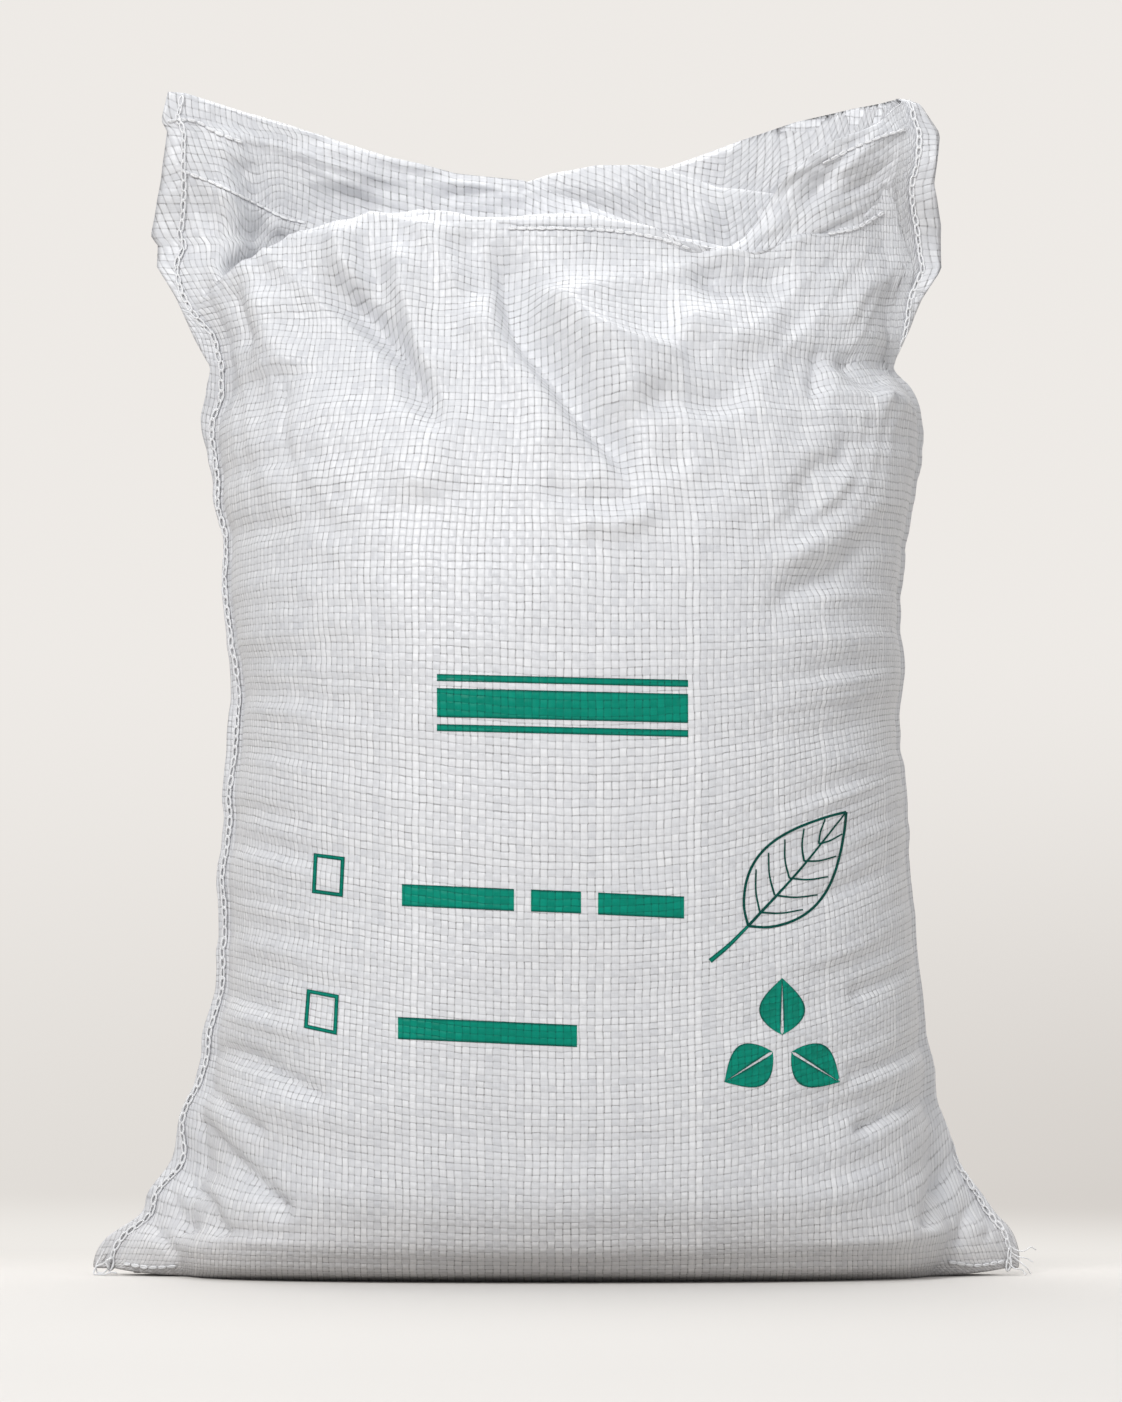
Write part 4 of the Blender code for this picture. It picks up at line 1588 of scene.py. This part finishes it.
@dataclass
class StitchRun:
    """Stitches along one or more lines on the cloth."""

    name: str
    lines: list[tuple[Array, Array]]
    stitch: Stitch
    material: Any
    seed: int = 7

    SIZE_NAMES = ("Spacing", "Length", "Width", "Thread", "Tilt")
    SIZES = {
        Stitch.CHAIN: (0.0054, 0.0066, 0.0023, 0.00058, 0.30),
        Stitch.RUNNING: (0.0050, 0.0044, 0.0010, 0.00060, 0.12),
    }

    def build(self, tree: Any) -> Any:
        """Lay the stitches.

        Args:
            tree: The stitches' node tree.

        Returns:
            The stitches as one plain mesh object.
        """
        places = np.concatenate([line for line, _ in self.lines])
        outward = np.concatenate([out for _, out in self.lines])
        edges, count = [], 0
        for line, _ in self.lines:
            edges += [(count + k, count + k + 1) for k in range(len(line) - 1)]
            count += len(line)
        mesh = bpy.data.meshes.new(self.name + "_line")
        mesh.from_pydata(places.tolist(), edges, [])
        attribute = mesh.attributes.new("outward", "FLOAT_VECTOR", "POINT")
        attribute.data.foreach_set("vector", outward.astype(np.float32).ravel())
        path = linked(self.name + "_line", mesh)
        modifier = path.modifiers.new("stitches", "NODES")
        modifier.node_group = tree
        values = dict(zip(self.SIZE_NAMES, self.SIZES[self.stitch]), Seed=self.seed, Material=self.material)
        for item in tree.interface.items_tree:
            if item.item_type == "SOCKET" and item.in_out == "INPUT" and item.name in values:
                modifier[item.identifier] = values[item.name]
        path.update_tag()
        graph = bpy.context.evaluated_depsgraph_get()
        result = bpy.data.meshes.new_from_object(path.evaluated_get(graph))
        path.modifiers.clear()
        bpy.data.objects.remove(path)
        result.shade_smooth()
        result.name = self.name
        return linked(self.name, result)


@dataclass
class Sewing:
    """Every line of thread on the sack, and its loose ends."""

    sack: Sack
    surface: Surface
    material: Any
    proud: float = 0.0008
    aside: float = 0.0012
    trace_step: float = 4  # picture points
    tail_radii: tuple[float, float] = (0.00045, 0.00035)  # left, right
    least_step: float = 2e-4
    below_top: float = 0.003
    under_height: float = 0.0018
    from_corner: float = 0.012

    TURNED_SHIFT = (-0.0014, 0.0034, 0)  # of the chain on a margin that is turned back
    FRONT_HEM = (
        ((186, 172), (212, 183), (238, 196), (268, 211), (287, 220), (301, 223)),
        ((512, 229), (560, 229), (619, 232), (655, 238), (686, 247)),
        ((826, 161), (857, 147), (879, 138), (900, 131)),
        ((832, 234), (855, 229), (880, 214)),
    )
    BACK_HEM = (((172, 121), (183, 120), (196, 122), (216, 133), (238, 141)),)
    CORNERS = (((952, 1262), (975, 1265), (1000, 1262)), ((128, 1264), (150, 1267), (172, 1266)))
    TAILS = (
        ((104, 1250), (100, 1258), (96, 1266), (97, 1272), (103, 1273), (108, 1268), (106, 1261),
         (112, 1258)),
        ((112, 1256), (104, 1263), (95, 1268), (94, 1274), (101, 1276), (112, 1272), (117, 1273)),
        ((1010, 1246), (1016, 1250), (1024, 1251), (1031, 1247), (1036, 1250)),
        ((1012, 1256), (1020, 1262), (1027, 1268), (1031, 1274)),
        ((1011, 1252), (1019, 1257), (1026, 1258), (1033, 1262)),
        ((1008, 1262), (1014, 1268), (1022, 1270), (1026, 1275)),
    )

    def seam_lines(self, side: int) -> list[tuple[Array, Array]]:
        """The lines of thread on both faces of a side seam.

        Args:
            side: -1 for the left, 1 for the right.

        Returns:
            For each line its places and the directions out of the cloth.
        """
        column = 0 if side < 0 else -1
        lines = []
        for points, facing in ((self.sack.front[: self.sack.marks[3] + 1], -1), (self.sack.back, 1)):
            line = points[self.sack.foot_rows + 3:, column]
            steps = np.linalg.norm(np.diff(line, axis=0), axis=1)
            line = line[np.concatenate(([True], steps > self.least_step))]
            line = line[line[:, 2] < line[-1, 2] - self.below_top] if facing < 0 else line[:-2]
            out = unit(np.tile(np.array([side * 0.25, facing, 0.0]), (len(line), 1)))
            back = self.sack.turned(line[:, 2], side)[:, None]
            out = out * (1 - back) + np.array([1.0, 0.2, 0.0]) * facing * -back
            shift = out * self.proud * (1.5 - 0.6 * back) + np.array([side * self.aside, 0, 0]) * (1 - back)
            lines.append((line + shift + np.array(self.TURNED_SHIFT) * back, out))
        return lines

    def hem_lines(self, lines: tuple[Table, ...], more: tuple[Array, Array] | None = None) -> list[Any]:
        """Lines laid on the cloth through picture points, with one more that is there already."""
        laid = [self.surface.traced(line, self.trace_step, self.proud) for line in lines]
        return laid if more is None else [*laid, more]

    def build(self) -> dict[str, Any]:
        """Lay every line.

        Returns:
            The stitch pieces by name.
        """
        tree = StitchTree().build()
        rim = self.sack.back[-6, 6:-6]
        behind = np.tile(np.array([0.0, 1.0, 0.1]), (len(rim), 1))
        corner = self.sack.seam(np.array(0.0), -1) - self.from_corner
        x = np.linspace(-corner, corner, 60)
        under = np.stack([x, x * 0, np.full(len(x), self.under_height)], axis=1)
        down = np.tile(np.array([0.0, 0.35, -1.0]), (len(x), 1))
        runs = (
            ("left_seam_stitches", self.seam_lines(-1), Stitch.CHAIN, 3),
            ("right_seam_stitches", self.seam_lines(1), Stitch.CHAIN, 5),
            ("front_hem_stitches", self.hem_lines(self.FRONT_HEM), Stitch.RUNNING, 9),
            ("back_hem_stitches", self.hem_lines(self.BACK_HEM, (rim + behind * self.proud, behind)),
             Stitch.RUNNING, 12),
            ("bottom_seam_stitches", self.hem_lines(self.CORNERS, (under, down)), Stitch.RUNNING, 15),
        )
        made = {
            name: StitchRun(name, lines, stitch, self.material, seed).build(tree)
            for name, lines, stitch, seed in runs
        }
        return made | {"thread_tails": self.tails()}

    def tails(self) -> Any:
        """The loose ends of thread at the bottom corners."""
        ends = []
        for k, points in enumerate(self.TAILS):
            depth = -0.004 - 0.0012 * (k % 3)
            line = self.surface.view.at(resampled(np.array(points, float), 1.5), depth)
            line[:, 1] += 0.0012 * np.sin(np.linspace(0, 5 + k, len(line)))
            line[:, 2] = np.maximum(line[:, 2], 0.0006)
            ends.append(tube(line, np.full(len(line), self.tail_radii[k > 1])))
        return made_object("thread_tails", *joined(ends))


@dataclass
class HemBand:
    """The doubled edge of the cloth along the front of the mouth."""

    sack: Sack
    start: float = -0.17
    end: float = 0.42
    thick: float = 0.0004
    under: float = 0.0004  # how deep its inner face lies in the cloth
    lip: float = 0.0002
    map_shift: float = 0.0021  # half a tape, so that the band's weave doesn't run on from the cloth's
    rows_down: int = 3
    rows_up: int = 4

    def build(self) -> Any:
        """Make the band.

        Returns:
            The band, with its cloth map.
        """
        bulge = self.sack.marks[1]
        columns = np.where((self.sack.share > self.start) & (self.sack.share < self.end))[0]
        rows = slice(bulge - self.rows_down, bulge + self.rows_up)
        points = self.sack.front[rows][:, columns]
        out = self.sack.normals(self.sack.front)[rows][:, columns]
        for _ in range(2):
            out[1:-1] = out[:-2] + out[1:-1] + out[2:]
            out = unit(out)
        across = np.linspace(0, 1, len(columns))
        ends = np.minimum(ease(0, 0.08, across), 1 - ease(0.90, 1, across))
        outer = points + out * (self.thick * ends)[None, :, None]
        outer[0] -= np.array([0, 0, self.lip])
        inner = points - out * self.under
        flat = self.sack.front_maps[rows][:, columns] + np.array([0.0, self.map_shift])
        high, count = points.shape[:2]
        grid = high * count
        faces = grid_faces(high, count) + grid_faces(high, count, grid, turned=True)
        top = grid - count
        for k in range(count - 1):
            faces.append((grid + k, grid + k + 1, k + 1, k))
            faces.append((top + k, top + k + 1, grid + top + k + 1, grid + top + k))
        for row in range(high - 1):
            a, b = row * count, (row + 1) * count
            faces.append((a, b, grid + b, grid + a))
            a, b = a + count - 1, b + count - 1
            faces.append((b, a, grid + a, grid + b))
        places = np.concatenate([outer.reshape(-1, 3), inner.reshape(-1, 3)])
        maps = np.concatenate([flat.reshape(-1, 2)] * 2)
        return made_object("front_hem_band", places, faces, maps)


# The print


@dataclass
class Print:
    """Plain green marks: stripes, bars, two empty boxes, a leaf in lines and three solid leaves."""

    surface: Surface
    cell: float = 3.0  # picture points, like all sizes here but the next
    proud: float = 0.00022
    box_line: float = 3.9
    leaf_line: float = 2.6
    leaf_half_width: float = 41
    small_half_width: float = 23
    midrib: float = 1.6
    veins: int = 5
    edging: list[float] = field(default_factory=list)  # 1 along the edges of the marks

    # Left, right, top, height and fall
    BARS = (
        (437, 688, 674, 7, 6), (437, 688, 688, 29, 6), (437, 688, 724, 7, 6),
        (402, 514, 884, 22, 5), (531, 581, 889.5, 22, 2), (598, 684, 892.5, 22, 4), (398, 577, 1017, 22, 8),
    )
    BOXES = (
        ((314, 853), (345, 857), (343, 897), (312, 893)),
        ((307, 989), (339, 995), (337, 1035), (304, 1028)),
    )
    LEAF_STEM = ((710, 961), (728, 946))
    STEM_WIDTHS, MIDRIB_WIDTHS, VEIN_WIDTHS = (5.0, 3.0), (3.0, 1.5), (2.0, 1.4)
    LEAF_BASE, LEAF_TIP = (748.0, 926.0), (846.0, 812.0)
    LEAVES_CENTRE = (782.0, 1046.0)

    def patch(self, first: Array, second: Array) -> Patch | None:
        """Lay the cloth between two lines of picture points under ink.

        Args:
            first: One edge.
            second: The other edge, with as many points.

        Returns:
            Points, their places on the flat cloth, and faces; None where it misses the cloth.
        """
        width = float(np.linalg.norm(first - second, axis=1).max())
        across = max(int(math.ceil(width / self.cell)), 1)
        places, flat = [], []
        for a, b in zip(first, second):
            for k in range(across + 1):
                found = self.surface.under(tuple(a + (b - a) * k / across))
                if not found:
                    return None
                places.append(found[0] + found[1] * self.proud)
                flat.append(found[2])
                self.edging.append(float(k in (0, across)))
        return np.array(places), np.array(flat), grid_faces(len(first), across + 1)

    def stroke(self, points: Table | Array, width: float, end_width: float | None = None) -> Patch | None:
        """A drawn line of some width, which may taper."""
        line = resampled(np.array(points, float), self.cell)
        run = unit(np.gradient(line, axis=0))
        side = np.stack([-run[:, 1], run[:, 0]], axis=1)
        half = np.linspace(width, end_width or width, len(line))[:, None] / 2
        return self.patch(line - side * half, line + side * half)

    def bar(self, left: float, right: float, top: float, height: float, fall: float) -> Patch | None:
        """A solid bar that falls a little from left to right."""
        x = np.linspace(left, right, max(int((right - left) / self.cell), 2))
        y = top + fall * (x - left) / (right - left)
        return self.patch(np.stack([x, y], 1), np.stack([x, y + height], 1))

    def box(self, corners: Table) -> list[Patch | None]:
        """An empty box drawn in lines.

        Args:
            corners: Its outer corners, in order.

        Returns:
            Its four sides.
        """
        outer = np.array(corners, float)
        middle = outer.mean(axis=0)
        reach = np.abs(outer - middle).mean(axis=0)
        inner = middle + (outer - middle) * (1 - self.box_line / reach)
        made = []
        for k in range(4):
            after = (k + 1) % 4
            count = max(int(np.linalg.norm(outer[after] - outer[k]) / self.cell), 2)
            t = np.linspace(0, 1, count + 1)[:, None]
            made.append(self.patch(*(edge[k] + (edge[after] - edge[k]) * t for edge in (outer, inner))))
        return made

    def drawn_leaf(self) -> list[Patch | None]:
        """One long leaf in thin lines, with its veins and stem."""
        base, tip = np.array(self.LEAF_BASE), np.array(self.LEAF_TIP)
        run = tip - base
        side = np.array([-run[1], run[0]]) / np.linalg.norm(run)
        made = [
            self.stroke((*self.LEAF_STEM, tuple(base)), *self.STEM_WIDTHS),
            self.stroke((base, base + run * 0.5 + side * 2.5, tip), *self.MIDRIB_WIDTHS),
        ]
        t = np.linspace(0, 1, 14)
        bulge = self.leaf_half_width * np.sin(math.pi * t**0.86) ** 0.9 * (1 - 0.18 * t)
        for way in (-1, 1):
            made.append(self.stroke(base + t[:, None] * run + way * side * bulge[:, None], self.leaf_line))
            for k in range(self.veins):
                root = 0.12 + 0.15 * k
                end = root + 0.20 - 0.012 * k
                reach = 0.86 * np.interp(end, t, bulge)
                start = base + run * root
                stop = base + run * end + way * side * reach
                bend = start + (stop - start) * 0.5 - run * 0.02
                made.append(self.stroke((start, bend, stop), *self.VEIN_WIDTHS))
        return made

    def three_leaves(self) -> list[Patch | None]:
        """Three solid leaves round a point, each with a bare midrib."""
        made = []
        t = np.linspace(0.0, 1, 18)[:, None]
        bulge = self.small_half_width * np.sin(math.pi * np.clip(t, 0, 1) ** 0.85)
        for turn in np.radians((90, 212, 328)):
            run = np.array([math.cos(turn), -math.sin(turn)])
            side = np.array([-run[1], run[0]])
            spine = np.array(self.LEAVES_CENTRE) + run * (11 + 57 * t)
            for way in (-1, 1):
                gap = np.minimum(self.midrib * (1 - t), bulge)
                made.append(self.patch(spine + way * side * gap, spine + way * side * bulge))
        return made

    def build(self) -> Any:
        """Make every mark as one piece."""
        marks = [
            *(self.bar(*bar) for bar in self.BARS),
            *(part for box in self.BOXES for part in self.box(box)),
            *self.drawn_leaf(),
            *self.three_leaves(),
        ]
        places, flat, faces, count = [], [], [], 0
        for mark in marks:
            if mark is None:
                log.info("a printed mark misses the cloth")
                continue
            some, maps, more = mark
            corners = [some[k] for k in more[0][:3]]
            turned = np.cross(corners[1] - corners[0], corners[2] - corners[0])[1] > 0
            faces += [tuple(k + count for k in (face[::-1] if turned else face)) for face in more]
            places.append(some)
            flat.append(maps)
            count += len(some)
        piece = made_object("printed_marks", np.concatenate(places), faces, np.concatenate(flat))
        noted(piece, "edging", self.edging)
        return piece


# The room


@dataclass
class Studio:
    """A pale room with soft light."""

    floor_colour: Colour = (0.69, 0.670, 0.645, 1)
    far_floor: Colour = (0.755, 0.732, 0.703, 1)
    floor_glow: Colour = (0.855, 0.828, 0.790, 1)
    bounce_colour: Colour = (0.50, 0.478, 0.452, 1)
    # Painted shade on the backdrop's glow: darker low down where it meets the floor, darker still on the
    # right
    high: Colour = (0.855, 0.825, 0.792, 1)
    shaded_low_left: Colour = (0.775, 0.745, 0.708, 1)
    shaded_low_right: Colour = (0.640, 0.605, 0.570, 1)
    floor_roughness: float = 0.9
    floor_gloss: float = 0.1
    wall_distance: float = 1.35
    wall_radius: float = 0.5
    wall_height: float = 5.0
    half_width: float = 6.0
    bend_steps: int = 12
    sky_colour: Colour = (0.97, 0.98, 1.0, 1)
    sky_strength: float = 0.44

    # Metres in the room, between which something sets in
    FLOOR_FADES, BEHIND_SACK, FAR_AWAY = (-0.9, -0.1), (-0.02, 0.30), (0.8, 2.0)
    BACKDROP_RISE, OFF_FLOOR = (-0.08, 0.48), (-0.02, 0.02)

    # Place, target, size and power
    LAMPS = {
        "key": ((-1.25, -2.7, 2.35), (0.0, 0.0, 0.32), 1.3, 75.0),
        "top": ((0.1, 0.9, 2.7), (0.0, -0.1, 0.2), 1.8, 34.0),
        "fill": ((2.4, -2.4, 1.2), (0.0, 0.0, 0.32), 2.6, 17.0),
        "back": ((-0.5, 1.25, 1.9), (0.0, 0.1, 0.3), 1.6, 10.0),
    }

    def build(self) -> None:
        """Make the floor with its backdrop, the lamps and the sky."""
        bpy.context.scene.view_settings.view_transform = "Standard"
        floor = self.floor()
        for name, (place, target, size, power) in self.LAMPS.items():
            self.lamp(name, place, target, size, power)
        self.sky()

    def floor(self) -> Any:
        """Make the floor, which curves up into the backdrop."""
        profile = [(-self.half_width, 0.0)]
        for turn in np.linspace(0, math.pi / 2, self.bend_steps + 1):
            rise = self.wall_radius * (1 - math.cos(turn))
            profile.append((self.wall_distance + self.wall_radius * math.sin(turn), rise))
        profile.append((profile[-1][0], self.wall_height))
        places = [(x, y, z) for x in (-self.half_width, self.half_width) for y, z in profile]
        count = len(profile)
        faces = [(k, count + k, count + k + 1, k + 1) for k in range(count - 1)]
        floor = made_object("floor", places, faces)
        material, tree, shader = fresh_material("studio_paper", self.floor_colour)
        made = partial(taken, tree)
        place = made("ShaderNodeTexCoord", "Object")
        grain = made("ShaderNodeTexNoise", "Fac", Vector=place, Scale=1.2, Detail=2.0)
        ground = blended(tree, parts(place)[1].step(*self.FLOOR_FADES), self.floor_colour, self.far_floor)
        pale = blended(tree, grain * 0.05, ground, self.bounce_colour)
        path = add(tree, "ShaderNodeLightPath").outputs
        shown = Value(tree, path["Is Camera Ray"])
        for other in ("Is Glossy Ray", "Is Transmission Ray"):
            shown = shown.largest(Value(tree, path[other]))
        put(tree, shader.inputs["Base Color"], blended(tree, shown, self.bounce_colour, pale))
        shader.inputs["Roughness"].default_value = self.floor_roughness
        shader.inputs["Specular IOR Level"].default_value = self.floor_gloss
        paper, glow = Value(tree, shader.outputs[0]), self.glow(place)
        lit = made("ShaderNodeMixShader", _0=self.glowing(place, shown), _1=paper, _2=glow)
        behind, clear = made("ShaderNodeNewGeometry", "Backfacing"), made("ShaderNodeBsdfTransparent")
        seen = made("ShaderNodeMixShader", _0=behind, _1=lit, _2=clear)
        put(tree, tree.nodes["Material Output"].inputs[0], seen)
        floor.data.materials.append(material)
        return floor

    def glow(self, place: Value) -> Value:
        """The backdrop's pale glow, with painted shade: darker low down, and darker still on the right.

        Args:
            place: Object coordinates.

        Returns:
            A shader that glows in them.
        """
        x, y, z = parts(place)
        right = (x * 0.5 + 0.5).step(0.0, 1.0)
        # Painted shade: the low band of the glow, darker towards the right
        low = blended(place.tree, right, self.shaded_low_left, self.shaded_low_right)
        far = blended(place.tree, y.step(0.5 - right * 0.48, 1.7 - right * 0.75), self.floor_glow, low)
        risen = z.step(*self.BACKDROP_RISE) * z.step(*self.OFF_FLOOR)
        colour = blended(place.tree, risen, far, self.high)
        return taken(place.tree, "ShaderNodeEmission", Color=colour, Strength=1.0)

    def glowing(self, place: Value, shown: Value) -> Value:
        """Where the pale colours show to the camera: behind the sack, and far away on all sides."""
        x, y, _ = parts(place)
        away = x.abs().largest(y * -1.0)
        return shown * y.step(*self.BEHIND_SACK).largest(away.step(*self.FAR_AWAY))

    def sky(self) -> None:
        """Light the room evenly, and show the backdrop's colour beyond it."""
        world = bpy.data.worlds.new("room")
        world.use_nodes = True
        tree = world.node_tree
        light = tree.nodes["Background"]
        light.inputs[0].default_value = self.sky_colour
        light.inputs[1].default_value = self.sky_strength
        shown = taken(tree, "ShaderNodeLightPath", "Is Camera Ray")
        pale = taken(tree, "ShaderNodeBackground", Color=self.high, Strength=1.0)
        seen = taken(tree, "ShaderNodeMixShader", _0=shown, _1=Value(tree, light.outputs[0]), _2=pale)
        put(tree, tree.nodes["World Output"].inputs[0], seen)
        bpy.context.scene.world = world

    @staticmethod
    def lamp(name: str, place: Triple, target: Triple, size: float, power: float) -> None:
        """Make a square soft lamp.

        Args:
            name: Its name.
            place: Where it stands.
            target: What it faces.
            size: Its width in metres.
            power: Its power in watts.
        """
        data = bpy.data.lights.new(name, "AREA")
        data.size = size
        data.energy = power
        lamp = linked(name, data)
        lamp.location = place
        lamp.rotation_euler = (Vector(target) - Vector(place)).to_track_quat("-Z", "Y").to_euler()


def dress(piece: Any, material: Any, nodes: tuple[str, ...]) -> None:
    """Give a finished piece its material and its place in the frame.

    Args:
        piece: The object.
        material: What it is made of.
        nodes: The CAD nodes that it stands for.
    """
    piece.data.materials.clear()
    piece.data.materials.append(material)
    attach(piece, BODY)
    if nodes:
        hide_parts(*nodes)
    log.info("%s: %d faces", piece.name, len(piece.data.polygons))


def main() -> None:
    """Build every piece in order."""
    logging.basicConfig(level=logging.INFO, format="%(message)s")
    view = View()
    view.build()
    Studio().build()
    cloth = TapeCloth().build()
    thread = SewingThread().build()
    sack = Sack(view)
    bag = sack.build()
    dress(bag, cloth, ("sack",))
    dress(HemBand(sack).build(), cloth, ())
    surface = Surface(bag, view)
    sewn = Sewing(sack, surface, thread).build()
    for name, piece in sewn.items():
        node = name.replace("stitches", "thread")
        dress(piece, thread, (node,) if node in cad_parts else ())
    dress(Print(surface).build(), PRINT_INK.build(), ())


if __name__ == "__main__":
    main()
